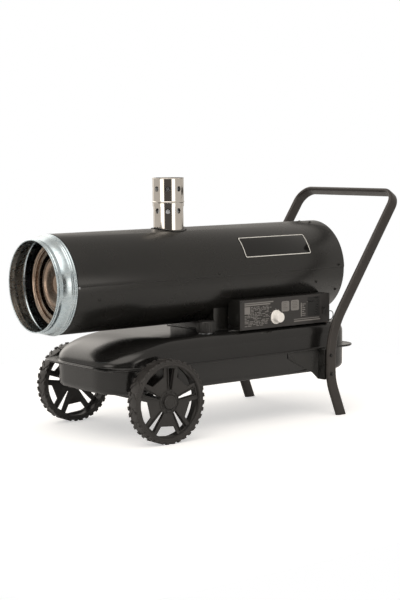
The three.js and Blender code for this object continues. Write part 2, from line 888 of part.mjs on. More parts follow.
// Fuel tank: two deep drawn halves joined on a flange, the front of the upper half sloping down
const tank = new THREE.Group();
heater.add(tank);
const tankFront = 163;
const tankRear = 1130;
const tankFrontCorner = 115;
const tankRearCorner = 85;
const lipCorner = 60;
const tankSheet = 1.5;
const frontSlope = 200;
const rearSlope = 32;
const sideSlope = 30;
const topFront = tankFront + frontSlope;
const topRear = tankRear - rearSlope;
const topHalfWidth = tankHalfWidth - sideSlope;
const topFrontCorner = 120;
const topRearCorner = 52;
const bottomRadius = 22;
const frontBow = 7;
const bandFrontHeight = 8;
const bandSideHeight = 44;
const bandRun = 215;
const cornerSteps = 4;
const sideSteps = 5;
const endSteps = 3;
const shoulderSteps = 4;
const bottomSteps = 3;

const straight = (from, to, steps) =>
  Array.from({ length: steps - 1 }, (_, i) => from.clone().lerp(to, (i + 1) / steps));

const outline = (front, rear, halfWidth, frontCorner, rearCorner) => {
  const quarter = Math.PI / 2;
  const centres = [
    [rear - rearCorner, halfWidth - rearCorner, rearCorner],
    [front + frontCorner, halfWidth - frontCorner, frontCorner],
    [front + frontCorner, frontCorner - halfWidth, frontCorner],
    [rear - rearCorner, rearCorner - halfWidth, rearCorner],
  ];
  const arcs = centres.map(([x, y, corner], i) =>
    ringPoints(corner, i * quarter, (i + 1) * quarter, cornerSteps).map(
      ([dx, dy]) => new THREE.Vector2(x + dx, y + dy),
    ),
  );
  const stepsAfter = [sideSteps, endSteps, sideSteps, endSteps];
  const points = arcs.flatMap((arc, i) => [
    ...arc,
    ...straight(arc.at(-1), arcs[(i + 1) % arcs.length][0], stepsAfter[i]),
  ]);
  const middle = (front + rear) / 2;
  return points.map((p) => {
    const bulge = p.x < middle ? frontBow * (1 - (p.y / halfWidth) ** 2) : 0;
    return new THREE.Vector2(at(p.x - bulge), p.y);
  });
};

const ring = (points, height) =>
  points.map((p, i) => new THREE.Vector3(p.x, p.y, typeof height === "function" ? height(p, i) : height));
const centreAt = (height) => [new THREE.Vector3(at((tankFront + tankRear) / 2), 0, height)];
const blend = (low, high, share) => low.map((p, i) => p.clone().lerp(high[i], share));

const bodyOutline = (inset) =>
  outline(
    tankFront + inset,
    tankRear - inset,
    tankHalfWidth - inset,
    tankFrontCorner - inset,
    tankRearCorner - inset,
  );
const lipOutline = outline(
  tankFront - lipWidth,
  tankRear + lipWidth,
  lipHalfWidth,
  lipCorner,
  lipCorner,
);
const topOutline = (inset) =>
  outline(topFront + inset, topRear - inset, topHalfWidth - inset, topFrontCorner, topRearCorner);
const bottomOutline = (inset) =>
  outline(
    tankFront + bottomRadius + inset,
    tankRear - bottomRadius - inset,
    tankHalfWidth - bottomRadius - inset,
    tankFrontCorner - bottomRadius,
    tankRearCorner - bottomRadius,
  );

const bandHeight = (p) => {
  const share = THREE.MathUtils.smoothstep(p.x, at(tankFront), at(tankFront + bandRun));
  return tankSeam + bandFrontHeight + (bandSideHeight - bandFrontHeight) * share;
};
const shoulderRings = (inset) => {
  const low = bodyOutline(inset);
  const high = topOutline(inset);
  return Array.from({ length: shoulderSteps + 1 }, (_, level) => {
    const angle = ((Math.PI / 2) * level) / shoulderSteps;
    const points = blend(low, high, 1 - Math.cos(angle));
    const rise = Math.sin(angle);
    return ring(points, (_, i) => {
      const start = bandHeight(low[i]);
      return start + (tankTop - inset - start) * rise;
    });
  });
};
const seamGap = seatGap / 2;
const upperTank = skin([
  centreAt(tankTop - tankSheet),
  ...shoulderRings(tankSheet).reverse(),
  ring(bodyOutline(tankSheet), tankSeam + seamGap),
  ring(lipOutline, tankSeam + seamGap),
  ring(lipOutline, tankSeam + seamGap + tankSheet),
  ring(bodyOutline(0), tankSeam + seamGap + tankSheet),
  ...shoulderRings(0),
  centreAt(tankTop),
]);

const bottomRings = (inset) =>
  Array.from({ length: bottomSteps + 1 }, (_, level) => {
    const angle = ((Math.PI / 2) * level) / bottomSteps;
    const points = blend(bodyOutline(inset), bottomOutline(0), 1 - Math.sin(angle));
    return ring(points, tankBottom + inset + (bottomRadius - inset) * (1 - Math.cos(angle)));
  });
const lowerTank = skin([
  centreAt(tankBottom),
  ...bottomRings(0),
  ring(bodyOutline(0), tankSeam - seamGap - tankSheet),
  ring(lipOutline, tankSeam - seamGap - tankSheet),
  ring(lipOutline, tankSeam - seamGap),
  ring(bodyOutline(tankSheet), tankSeam - seamGap),
  ...bottomRings(tankSheet).reverse(),
  centreAt(tankBottom + tankSheet),
]);

// Filler: neck with a flange on the tank top, strainer, seal and ribbed cap
const fillerGap = 102;
const fillerStation = boxStart - fillerGap;
const fillerInset = 26;
const fillerSide = fillerInset - topHalfWidth;
const neckRadiusOuter = 20;
const fillerWall = 1.5;
const fillerRise = 20;
const fillerTop = tankTop + fillerRise;
const flangeWidth = 3;
const fillerFlange = neckRadiusOuter + flangeWidth;
const fillerFlangeHeight = 1.7;
const fillerDrop = 6;
const strainerDepth = 46;
const strainerRim = 2;
const capRadius = 29;
const capWall = 3;
const capClear = 4;
const capHeight = 36;
const capLow = tankTop + capClear;
const capTop = capLow + capHeight;
const sealThickness = 2.6;
const atFiller = (geometry) => moved(geometry, at(fillerStation), fillerSide, 0);

const tankHole = (radius) => rod(radius, tankTop - overrun, tankTop + overrun, "z", 16);
const pickupX = fuelPortX;
const pickupRadius = 12;
const pickupFlange = 17;
const drainStation = 930;
const drainRadius = 8;
const drainHead = 12;

const upperHalf = cut(
  upperTank,
  atFiller(tankHole(neckRadiusOuter + seatGap)),
  moved(tankHole(pickupRadius + seatGap), pickupX, 0, 0),
  moved(tankHole(pickupRadius + seatGap), returnPortX, 0, 0),
);
add(tank, "tank_upper_half", upperHalf, ...finishes.glossBlack);
const drainHole = rod(drainRadius + seatGap, tankBottom - overrun, tankBottom + overrun, "z", 12);
const lowerHalf = cut(lowerTank, moved(drainHole, at(drainStation), 0, 0));
add(tank, "tank_lower_half", lowerHalf, ...finishes.glossBlack);

const neckProfile = [
  [neckRadiusOuter - fillerWall, tankTop - fillerDrop],
  [neckRadiusOuter, tankTop - fillerDrop],
  [neckRadiusOuter, tankTop + seatGap],
  [fillerFlange, tankTop + seatGap],
  [fillerFlange, tankTop + fillerFlangeHeight],
  [neckRadiusOuter, tankTop + fillerFlangeHeight],
  [neckRadiusOuter, fillerTop],
  [neckRadiusOuter - fillerWall, fillerTop],
];
add(tank, "filler_neck", atFiller(turned(neckProfile, "z")), ...finishes.steel);

const strainerOuter = neckRadiusOuter - fillerWall - seatGap;
const strainerLow = fillerTop - strainerDepth;
const strainerProfile = [
  [0, strainerLow],
  [strainerOuter, strainerLow],
  [strainerOuter, fillerTop + seatGap],
  [neckRadiusOuter, fillerTop + seatGap],
  [neckRadiusOuter, fillerTop + strainerRim],
  [strainerOuter - fillerWall, fillerTop + strainerRim],
  [strainerOuter - fillerWall, strainerLow + fillerWall],
  [0, strainerLow + fillerWall],
];
add(tank, "filler_strainer", atFiller(turned(strainerProfile, "z")), ...finishes.steel);

const sealLow = fillerTop + strainerRim + seatGap;
const seal = pipe(neckRadiusOuter + fillerWall, neckRadiusOuter / 2, sealLow, sealLow + sealThickness, "z");
add(tank, "cap_seal", atFiller(seal), ...finishes.rubber);

const capCeiling = sealLow + sealThickness + seatGap;
const capProfile = [
  [0, capCeiling],
  [capRadius - capWall, capCeiling],
  [capRadius - capWall, capLow],
  [capRadius, capLow],
  [capRadius, capTop - capWall],
  [capRadius - capWall, capTop],
  [0, capTop],
];
add(tank, "filler_cap", atFiller(turned(capProfile, "z")), ...finishes.darkPlastic);

const drainWasher = 6;
const drain = join(
  rod(drainRadius, tankBottom - drainWasher, tankBottom + drainWasher, "z", 12),
  rod(drainHead, tankBottom - seatGap - drainWasher, tankBottom - seatGap, "z", 6),
);
add(tank, "drain_plug", moved(drain, at(drainStation), 0, 0), ...finishes.steel);

// Fuel pickup: a flanged fitting on the tank top with its suction tube, and the two hoses to the pump
const pickupFlangeHeight = 3;
const pickupFlangeTop = tankTop + seatGap + pickupFlangeHeight;
const suctionRadius = 4;
const suctionClear = 12;
const suctionLow = tankBottom + tankSheet + suctionClear;
const hoseInner = 2.5;
const pickup = cut(
  join(
    rod(pickupRadius, tankTop - fillerDrop, pickupFlangeTop, "z", 12),
    rod(pickupFlange, tankTop + seatGap, pickupFlangeTop, "z", 12),
    rod(suctionRadius, suctionLow, pickupFlangeTop, "z", 10),
  ),
  rod(suctionRadius / 2, suctionLow - overrun, pickupFlangeTop + overrun, "z", 8),
);
add(tank, "fuel_pickup", moved(pickup, pickupX, 0, 0), ...finishes.brass);

const returnFitting = cut(
  join(
    rod(pickupRadius, tankTop - fillerDrop, pickupFlangeTop, "z", 12),
    rod(pickupFlange - sheet, tankTop + seatGap, pickupFlangeTop, "z", 12),
  ),
  rod(suctionRadius / 2, tankTop - overrun, pickupFlangeTop + overrun, "z", 8),
);
add(tank, "fuel_return_fitting", moved(returnFitting, returnPortX, 0, 0), ...finishes.brass);

const hoseShape = () => {
  const shape = disc(hoseRadius, 8);
  shape.holes.push(hole(ringPoints(hoseInner, 0, fullTurn, 6)));
  return shape;
};
const pumpLow = -pumpRadius - holderRadius - seatGap;
const supplyDrop = 70.7;
const returnDrop = 52.7;
const supplyRun = pumpLow - supplyDrop;
const returnRun = pumpLow - returnDrop;
const hoseBend = 16;
const hoseSpread = 6.5;
const hoseBase = pickupFlangeTop + seatGap - drumAxisHeight;
const fuelHose = (tankX, height, pumpX) =>
  bentTube(
    hoseShape(),
    [
      spot(tankX, 0, hoseBase),
      spot(tankX, 0, height, hoseBend),
      spot(pumpX, 0, height, hoseBend),
      spot(pumpX, 0, pumpLow),
    ],
    THREE.MathUtils.degToRad(22),
  );
const supplyHose = fuelHose(pickupX, supplyRun, pumpOutX + hoseSpread);
add(drum, "fuel_supply_hose", supplyHose, ...finishes.rubber);
const returnHose = fuelHose(returnPortX, returnRun, pumpOutX - hoseSpread);
add(drum, "fuel_return_hose", returnHose, ...finishes.rubber);

// Drum supports: pressed channels between the tank top and the lower shell, with feet along X
const supportReach = 114;
const supportInset = 89;
const supportFrontX = returnPortX - supportReach;
const supportRearX = boxX1 - supportInset;
const supportLength = 58;
const supportHalf = 118;
const supportSheet = 2.5;
const supportFoot = 14;
const supportLow = tankTop + seatGap;
const drumSupport = (x0) => {
  const x1 = x0 + supportLength;
  const shellSeat = moved(
    rod(lowerOuter + seatGap, x0 - overrun, x1 + overrun, "x", 96),
    0,
    0,
    drumAxisHeight,
  );
  const innerSeat = moved(
    rod(lowerOuter + seatGap + supportSheet, x0, x1, "x", 96),
    0,
    0,
    drumAxisHeight,
  );
  const high = drumAxisHeight - Math.sqrt(lowerOuter ** 2 - supportHalf ** 2) - supportSheet;
  const shell = cut(block(x0, x1, -supportHalf, supportHalf, supportLow, high), shellSeat);
  const hollow = cut(
    block(
      x0 + supportSheet,
      x1 - supportSheet,
      -supportHalf + supportSheet,
      supportHalf - supportSheet,
      supportLow - overrun,
      high + overrun,
    ),
    innerSeat,
  );
  const feet = [
    [x0 - supportFoot, x0 + supportSheet / 2],
    [x1 - supportSheet / 2, x1 + supportFoot],
  ].map(([from, to]) =>
    block(from, to, -supportHalf, supportHalf, supportLow, supportLow + supportSheet),
  );
  return join(cut(shell, hollow), ...feet);
};
add(tank, "drum_support_front", drumSupport(supportFrontX), ...finishes.satinBlack);
add(tank, "drum_support_rear", drumSupport(supportRearX), ...finishes.satinBlack);

// Control box: a sheet metal tray under the near side of the drum, closed by the fascia
const boxClear = 3.2;
const boxHeight = 95.8;
const boxProud = 31.7;
const boxDepth = 61;
const boxLow = tankTop + boxClear;
const boxHigh = boxLow + boxHeight;
const boxFace = -drumRadius - boxProud;
const boxSheet = 1.5;
const fasciaThickness = 2;
const boxBackLow = boxFace + boxDepth;
const drumSideAt = (height, grow) =>
  -Math.sqrt((lowerOuter + seatGap + grow) ** 2 - (height - drumAxisHeight) ** 2);
const boxSteps = 6;
const boxSection = (inset) => {
  const low = boxLow + inset;
  const high = boxHigh - inset;
  const cornerHeight = drumAxisHeight - Math.sqrt((lowerOuter + seatGap + inset) ** 2 - boxBackLow ** 2);
  const back = Array.from({ length: boxSteps + 1 }, (_, i) => {
    const height = high + ((cornerHeight - high) * i) / boxSteps;
    return [drumSideAt(height, inset), height];
  });
  return polygon([
    [boxFace + fasciaThickness + seatGap - (inset ? overrun : 0), low],
    [boxBackLow - inset, low],
    ...back.reverse(),
    [boxFace + fasciaThickness + seatGap - (inset ? overrun : 0), high],
  ]);
};
const controlBox = cut(
  prismX(boxSection(0), boxX0, boxX1),
  prismX(boxSection(boxSheet), boxX0 + boxSheet, boxX1 - boxSheet),
);

const knobInset = 149;
const knobRise = 33.3;
const knobX = boxX0 + knobInset;
const knobHeight = boxLow + knobRise;
const spindleRadius = 3;
const switchInset = 24;
const switchRise = 39.3;
const switchX = boxX1 - switchInset;
const switchHeight = boxLow + switchRise;
const switchHalfWidth = 5.5;
const switchHalfHeight = 11;
const glandDepth = 47;
const glandRise = 29.8;
const glandSide = boxFace + glandDepth;
const glandHeight = boxLow + glandRise;
const glandRadius = 8;
const leadDepth = 11;
const leadRise = 33.8;
const leadSide = boxFace + leadDepth;
const leadHeight = boxLow + leadRise;
const leadRadius = 1.5;
const boxHole = (radius, side, height) =>
  rod(radius + seatGap, boxX1 - overrun, boxX1 + overrun, "x", 12).translate(0, side, height);
add(
  heater,
  "control_box",
  cut(controlBox, boxHole(glandRadius, glandSide, glandHeight), boxHole(leadRadius, leadSide, leadHeight)),
  ...finishes.satinBlack,
);

const fascia = cut(
  block(boxX0, boxX1, boxFace, boxFace + fasciaThickness, boxLow, boxHigh),
  moved(rod(spindleRadius + seatGap, boxFace - overrun, boxFace + overrun, "y", 12), knobX, 0, knobHeight),
  block(
    switchX - switchHalfWidth - seatGap,
    switchX + switchHalfWidth + seatGap,
    boxFace - overrun,
    boxFace + overrun,
    switchHeight - switchHalfHeight - seatGap,
    switchHeight + switchHalfHeight + seatGap,
  ),
);
add(heater, "control_fascia", fascia, ...finishes.fascia);

// Thermostat: knob with a skirt dial and spindle in front, switch body behind the fascia
const dialRadius = 23;
const dialThickness = 3;
const knobRadius = 18;
const knobProud = 25;
const thermostatHalf = 19;
const thermostatDepth = 22;
const knobBack = boxFace - seatGap;
const pointerHalf = 2;
const fasciaBack = boxFace + fasciaThickness + seatGap;
const knobProfile = [
  [0, knobBack],
  [dialRadius, knobBack],
  [dialRadius, knobBack - dialThickness],
  [knobRadius, knobBack - dialThickness],
  [knobRadius - sheet, knobBack - knobProud + sheet],
  [knobRadius - 2 * sheet, knobBack - knobProud],
  [0, knobBack - knobProud],
];
const knob = join(
  moved(turned(knobProfile, "y"), knobX, 0, knobHeight),
  moved(
    rod(spindleRadius, knobBack - dialThickness, fasciaBack + thermostatDepth / 2, "y", 12),
    knobX,
    0,
    knobHeight,
  ),
  block(
    knobX + knobRadius - pointerHalf,
    knobX + knobRadius + pointerHalf,
    knobBack - knobProud * 0.8,
    knobBack - dialThickness / 2,
    knobHeight - pointerHalf,
    knobHeight + pointerHalf,
  ),
);
add(heater, "thermostat_knob", knob, ...finishes.cream);

const thermostat = cut(
  block(
    knobX - thermostatHalf,
    knobX + thermostatHalf,
    fasciaBack,
    fasciaBack + thermostatDepth,
    knobHeight - thermostatHalf,
    knobHeight + thermostatHalf,
  ),
  moved(
    rod(spindleRadius + seatGap, boxFace, fasciaBack + thermostatDepth - sheet, "y", 12),
    knobX,
    0,
    knobHeight,
  ),
);
add(heater, "thermostat_body", thermostat, ...finishes.darkPlastic);

// Power switch: a rocker on a cross pin in a housing that plugs into the fascia
const switchWall = 1.5;
const switchDepth = 20;
const bezelProud = 1.6;
const bezelWidth = 2;
const rockerProud = 4;
const rockerDepth = 6;
const rockerHalfWidth = switchHalfWidth - switchWall - seatGap;
const rockerHalfHeight = switchHalfHeight - switchWall - 1;
const rockerTilt = THREE.MathUtils.degToRad(9);
const pivotSide = boxFace + sheet;
const rockerPin = 1.2;
const switchHousing = cut(
  join(
    block(
      switchX - switchHalfWidth,
      switchX + switchHalfWidth,
      boxFace - bezelProud,
      boxFace + switchDepth,
      switchHeight - switchHalfHeight,
      switchHeight + switchHalfHeight,
    ),
    block(
      switchX - switchHalfWidth - bezelWidth,
      switchX + switchHalfWidth + bezelWidth,
      boxFace - bezelProud,
      boxFace - seatGap,
      switchHeight - switchHalfHeight - bezelWidth,
      switchHeight + switchHalfHeight + bezelWidth,
    ),
  ),
  block(
    switchX - switchHalfWidth + switchWall,
    switchX + switchHalfWidth - switchWall,
    boxFace - overrun,
    boxFace + rockerDepth * 2,
    switchHeight - switchHalfHeight + switchWall,
    switchHeight + switchHalfHeight - switchWall,
  ),
  moved(
    rod(rockerPin + seatGap, -switchHalfWidth - overrun, switchHalfWidth + overrun, "x", 8),
    switchX,
    pivotSide,
    switchHeight,
  ),
);
add(heater, "switch_housing", switchHousing, ...finishes.darkPlastic);

const rockerShape = new THREE.Shape();
rockerShape.moveTo(-rockerHalfHeight, -rockerProud);
rockerShape.lineTo(0, -rockerProud + sheet);
rockerShape.lineTo(rockerHalfHeight, -rockerProud);
rockerShape.lineTo(rockerHalfHeight - sheet, rockerDepth / 2);
rockerShape.lineTo(0, rockerDepth);
rockerShape.lineTo(-rockerHalfHeight + sheet, rockerDepth / 2);
const rocker = join(
  prism(rockerShape, -rockerHalfWidth, rockerHalfWidth, axisZ, axisY, axisX.clone().negate()),
  rod(rockerPin, -switchHalfWidth + seatGap, switchHalfWidth - seatGap, "x", 8),
);
rocker.rotateX(rockerTilt);
add(heater, "power_switch", rocker.translate(switchX, pivotSide, switchHeight), ...finishes.rubber);

// Inside the box: ignition transformer and control board on its floor, and the cord gland in its end
const boxFloor = boxLow + boxSheet + seatGap;
const transformerLength = 62;
const transformerDepth = 34;
const transformerHeight = 52;
const transformerInset = 66;
const transformerGap = 11;
const transformerX = boxX1 - transformerInset;
const transformerSide = boxFace + transformerGap;
const transformer = block(
  transformerX - transformerLength,
  transformerX,
  transformerSide,
  transformerSide + transformerDepth,
  boxFloor,
  boxFloor + transformerHeight,
);
add(heater, "ignition_transformer", transformer, ...finishes.darkPlastic);

const boardInset = 18;
const boardX = boxX0 + boardInset;
const boardLength = 96;
const boardHeight = 60;
const boardThickness = 1.6;
const boardDepth = 27;
const boardSide = boxFace + boardDepth;
const partLength = 16;
const partDepth = 10;
const partHeight = 14;
const boardParts = [1, 2, 3].map((i) =>
  block(
    boardX + (boardLength * i) / 4 - partLength / 2,
    boardX + (boardLength * i) / 4 + partLength / 2,
    boardSide - partDepth,
    boardSide + boardThickness / 2,
    boxFloor + (boardHeight * i) / 5,
    boxFloor + (boardHeight * i) / 5 + partHeight,
  ),
);
const board = join(
  block(
    boardX,
    boardX + boardLength,
    boardSide,
    boardSide + boardThickness,
    boxFloor,
    boxFloor + boardHeight,
  ),
  ...boardParts,
);
add(heater, "control_board", board, ...finishes.board);

const glandLength = 16;
const glandCollar = 12;
const glandBore = 4;
const gland = cut(
  join(
    rod(glandRadius, boxX1 - glandLength / 2, boxX1 + glandLength, "x", 16),
    rod(glandCollar, boxX1 + seatGap, boxX1 + glandLength / 2, "x", 6),
  ),
  rod(glandBore, boxX1 - overrun, boxX1 + overrun, "x", 12),
).translate(0, glandSide, glandHeight);
add(heater, "cord_gland", gland, ...finishes.rubber);

// Thermostat sensing line: a thin lead from the box end to a bulb clipped on the tank's rear shoulder
const bulbGap = 23;
const bulbSetback = 26;
const bulbRadius = 4;
const bulbLength = 56;
const bulbSide = leadSide + bulbSetback;
const clipThickness = 1.5;
const clipWidth = 12;
const clipFoot = 10;
const bulbHeight = tankTop + seatGap + clipThickness + seatGap + bulbRadius;
const bulbX = boxX1 + bulbGap;
const bulb = rod(bulbRadius, bulbSide, bulbSide + bulbLength, "y", 12).translate(bulbX, 0, bulbHeight);
add(tank, "thermostat_bulb", bulb, ...finishes.copper);

const clipY0 = bulbSide + bulbLength / 2 - clipWidth / 2;
const clipRound = bulbRadius + seatGap + clipThickness;
const clipLow = tankTop + seatGap;
const clip = cut(
  join(
    rod(clipRound, clipY0, clipY0 + clipWidth, "y", 16).translate(bulbX, 0, bulbHeight),
    block(bulbX - clipRound - clipFoot, bulbX, clipY0, clipY0 + clipWidth, clipLow, clipLow + clipThickness),
  ),
  rod(bulbRadius + seatGap, clipY0 - overrun, clipY0 + clipWidth + overrun, "y", 16).translate(
    bulbX,
    0,
    bulbHeight,
  ),
  block(
    bulbX - 2 * clipRound,
    bulbX + 2 * clipRound,
    clipY0 - overrun,
    clipY0 + clipWidth + overrun,
    clipLow - overrun,
    clipLow,
  ),
);
add(tank, "bulb_clip", clip, ...finishes.steel);

const leadInset = 8;
const leadOut = 30;
const leadBend = 13;
const leadX = boxX1 + leadOut;
const lead = bentTube(
  disc(leadRadius, 8),
  [
    spot(boxX1 - leadInset, leadSide, leadHeight),
    spot(leadX, leadSide, leadHeight, leadBend),
    spot(bulbX, leadSide, bulbHeight, leadBend),
    spot(bulbX, bulbSide - seatGap, bulbHeight),
  ],
  THREE.MathUtils.degToRad(16),
);
add(heater, "thermostat_capillary", lead, ...finishes.copper);

// Handle tube, cut flat on the ground at both feet
const ovalSteps = 4;
const ovalPoints = (wall) => {
  const round = tubeThickness / 2 - wall;
  const offset = (tubeDepth - tubeThickness) / 2;
  const half = (from) => ringPoints(round, from, from + Math.PI, ovalSteps);
  return [
    ...half(0).map(([a, b]) => [a, b + offset]),
    ...half(Math.PI).map(([a, b]) => [a, b - offset]),
  ];
};
const ovalTube = polygon(ovalPoints(0));
ovalTube.holes.push(hole(ovalPoints(tubeWall)));
const footKneeHeight = (footStation - legStation) / Math.tan(footTilt);
const below = footStation + overrun * Math.tan(footTilt);
const legCorners = (side) => [
  spot(at(below), side, -overrun),
  spot(at(legStation), side, footKneeHeight, footBend),
  spot(at(legStation), side, kneeHeight, kneeBend),
  spot(at(gripStation), side, gripHeight, gripBend),
];
const handle = cut(
  bentTube(ovalTube, [...legCorners(-legSide), ...legCorners(legSide).reverse()]),
  block(
    at(legStation) - tubeDepth,
    at(footStation) + 2 * tubeDepth,
    -legSide - tubeDepth,
    legSide + tubeDepth,
    -2 * overrun,
    0,
  ),
);
add(heater, "handle_tube", handle, ...finishes.tube);

// Leg brackets: a plate on the tank wall, a web beside the leg and a tab bolted to the leg's inner side
const bracketSheet = 2.5;
const bracketReach = 152.5;
const bracketFront = legStation - bracketReach;
const bracketTop = tankSeam - seamGap - tankSheet - seatGap;
const bracketDrop = 22;
const bracketLow = tankBottom - bracketDrop;
const bracketFrontDrop = 21;
const tabDepth = 27;
const plateOuter = tankHalfWidth + seatGap + bracketSheet;
const tabOuter = legSide - tubeThickness / 2 - seatGap;
const webBack = at(legStation) - tubeDepth / 2 - seatGap;
const webFront = webBack - bracketSheet;
const bracketShare = [
  [0.18, 0.36],
  [0.5, 0.57],
  [0.8, 0.77],
];
const plateSpan = webBack - at(bracketFront);
const plateDrop = bracketTop - bracketLow;
const plateShape = polygon([
  [at(bracketFront), bracketTop],
  [at(bracketFront), bracketTop - bracketFrontDrop],
  ...bracketShare.map(([along, down]) => [
    at(bracketFront) + plateSpan * along,
    bracketTop - plateDrop * down,
  ]),
  [webFront, bracketLow],
  [webBack, bracketLow],
  [webBack, bracketTop],
]);
const legBracket = join(
  prismY(plateShape, -plateOuter, -plateOuter + bracketSheet),
  block(webFront, webBack, -tabOuter, -plateOuter + bracketSheet, bracketLow, bracketTop),
  block(webFront, webBack + tabDepth, -tabOuter, -tabOuter + bracketSheet, bracketLow, bracketTop),
);
add(heater, "leg_bracket_near", legBracket, ...finishes.satinBlack);
add(heater, "leg_bracket_far", mirroredSide(legBracket), ...finishes.satinBlack);

// Axle with turned down ends, and the channel under the tank that carries it
const axleRadius = 9.5;
const axleEndRadius = 8;
const hubProud = 4.05;
const axleInset = 7.95;
const hubInner = wheelCentreSide - wheelWidth / 2 - hubProud;
const axleHalf = wheelCentreSide + wheelWidth / 2 - axleInset;
const axleX = at(axleStation);
const axleProfile = [
  [0, -axleHalf],
  [axleEndRadius, -axleHalf],
  [axleEndRadius, -hubInner + seatGap],
  [axleRadius, -hubInner + seatGap],
  [axleRadius, hubInner - seatGap],
  [axleEndRadius, hubInner - seatGap],
  [axleEndRadius, axleHalf],
  [0, axleHalf],
];
const axle = moved(turned(axleProfile, "y"), axleX, 0, wheelRadius);
add(heater, "axle", axle, ...finishes.steel);

const channelHalfWidth = 16;
const channelInset = 29;
const channelHalf = tankHalfWidth - channelInset;
const channelDrop = 12;
const channelLow = wheelRadius - channelDrop;
const channelSheet = 3;
const channelTop = tankBottom - seatGap;
const channel = cut(
  block(
    axleX - channelHalfWidth,
    axleX + channelHalfWidth,
    -channelHalf,
    channelHalf,
    channelLow,
    channelTop,
  ),
  block(
    axleX - channelHalfWidth + channelSheet,
    axleX + channelHalfWidth - channelSheet,
    -channelHalf + channelSheet,
    channelHalf - channelSheet,
    channelLow - overrun,
    channelTop - channelSheet,
  ),
  moved(
    rod(axleRadius + seatGap, -channelHalf - overrun, channelHalf + overrun, "y"),
    axleX,
    0,
    wheelRadius,
  ),
);
add(heater, "axle_bracket", channel, ...finishes.satinBlack);

// Wheels: rubber tyre on a moulded rim with five slits and five openings, and a snap-on hub cap
const tyreDepth = 15.2;
const tyreInner = wheelRadius - tyreDepth;
const tyreHalf = wheelWidth / 2;
const tyreSegments = 32;
const shoulderDrop = 4;
const rimOuter = tyreInner - seatGap;
const rimWall = 3.5;
const rimInner = rimOuter - rimWall;
const rimInset = 2.95;
const rimHalf = tyreHalf - rimInset;
const hubRadius = 22;
const hubFaceInset = 5.95;
const hubFace = tyreHalf - hubFaceInset;
const webInset = 3;
const webFace = hubFace - webInset;
const webThickness = 5;
const spokeCount = 5;
const slitGap = 15;
const slitInner = hubRadius + slitGap;
const slitBand = 13.5;
const slitOuter = rimInner - slitBand;
const slitHalf = [2.4, 7.5];
const openingDepth = 31.5;
const openingInner = rimInner - openingDepth;
const openingHalfShare = [0.5, 0.62];
const slotOuter = rimInner;
const spokeTurn = THREE.MathUtils.degToRad(31);
const capProud = 5;

const tyreProfile = [
  [tyreInner, -tyreHalf],
  [wheelRadius - shoulderDrop, -tyreHalf],
  [wheelRadius, -tyreHalf + 1.4 * shoulderDrop],
  [wheelRadius, tyreHalf - 1.4 * shoulderDrop],
  [wheelRadius - shoulderDrop, tyreHalf],
  [tyreInner, tyreHalf],
];
const tyre = () => turned(tyreProfile, "y", tyreSegments);

const polar = (radius, angle) => [radius * Math.cos(angle), radius * Math.sin(angle)];
const radialSlot = (inner, outer, halfInner, halfOuter, angle) => {
  const corner = (radius, half, side) => polar(radius, angle + (side * half) / radius);
  return polygon([
    corner(inner, halfInner, -1),
    corner(outer, halfOuter, -1),
    corner(outer, halfOuter, 1),
    corner(inner, halfInner, 1),
  ]);
};
const spokeStep = fullTurn / spokeCount;
const slitAt = (index) => Math.PI / 2 + spokeTurn + spokeStep * index;
const openingHalf = openingHalfShare.map((share) => (share * spokeStep) / 2);
const rimSlits = Array.from({ length: spokeCount }, (_, i) =>
  radialSlot(slitInner, slitOuter, ...slitHalf, slitAt(i)),
);
const rimOpenings = Array.from({ length: spokeCount }, (_, i) =>
  radialSlot(
    openingInner,
    slotOuter,
    openingHalf[0] * openingInner,
    openingHalf[1] * slotOuter,
    slitAt(i) + spokeStep / 2,
  ),
);
const faceUp = (geometry) => geometry.rotateX(-Math.PI / 2);
const rimGeometry = () => {
  const barrel = pipe(rimOuter, rimInner, -rimHalf, rimHalf, "z", tyreSegments);
  const web = cut(
    rod(rimInner + sheet, webFace - webThickness, webFace, "z", tyreSegments),
    ...[...rimSlits, ...rimOpenings].map((slot) => prismZ(slot, -overrun, overrun)),
  );
  const hub = rod(hubRadius, hubInner - wheelCentreSide, hubFace, "z");
  const bore = rod(axleEndRadius + seatGap, -overrun * 2, overrun * 2, "z");
  return faceUp(cut(join(barrel, web, hub), bore));
};
const hubCapEdge = 1;
const hubCapProfile = [
  [0, hubFace + seatGap],
  [hubRadius - hubCapEdge, hubFace + seatGap],
  [hubRadius - hubCapEdge, hubFace + capProud - hubCapEdge],
  [hubRadius - 3 * hubCapEdge, hubFace + capProud],
  [0, hubFace + capProud],
];
const wheel = (name, side) => {
  const group = new THREE.Group();
  group.position.set(axleX, side * wheelCentreSide, wheelRadius);
  group.rotation.z = side > 0 ? 0 : Math.PI;
  add(group, "tyre_" + name, tyre(), ...finishes.tyre);
  add(group, "wheel_rim_" + name, rimGeometry(), ...finishes.darkPlastic);
  add(group, "hub_cap_" + name, turned(hubCapProfile, "y"), ...finishes.darkPlastic);
  heater.add(group);
};
wheel("near", -1);
wheel("far", 1);

export default heater;
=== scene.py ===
# %% [markdown]
# # An indirect fired heater
# The working model comes in first: its pieces have their real size and place, and they move at its joints.
# Everything below gives those pieces the surface, the rounded edges and the small parts of the real heater.
# Lengths are in metres, so each one is written as a number of millimetres times MM.

# %% Load the working model
import json
import math
import random

import bmesh
import bpy
from mathutils import Matrix, Vector


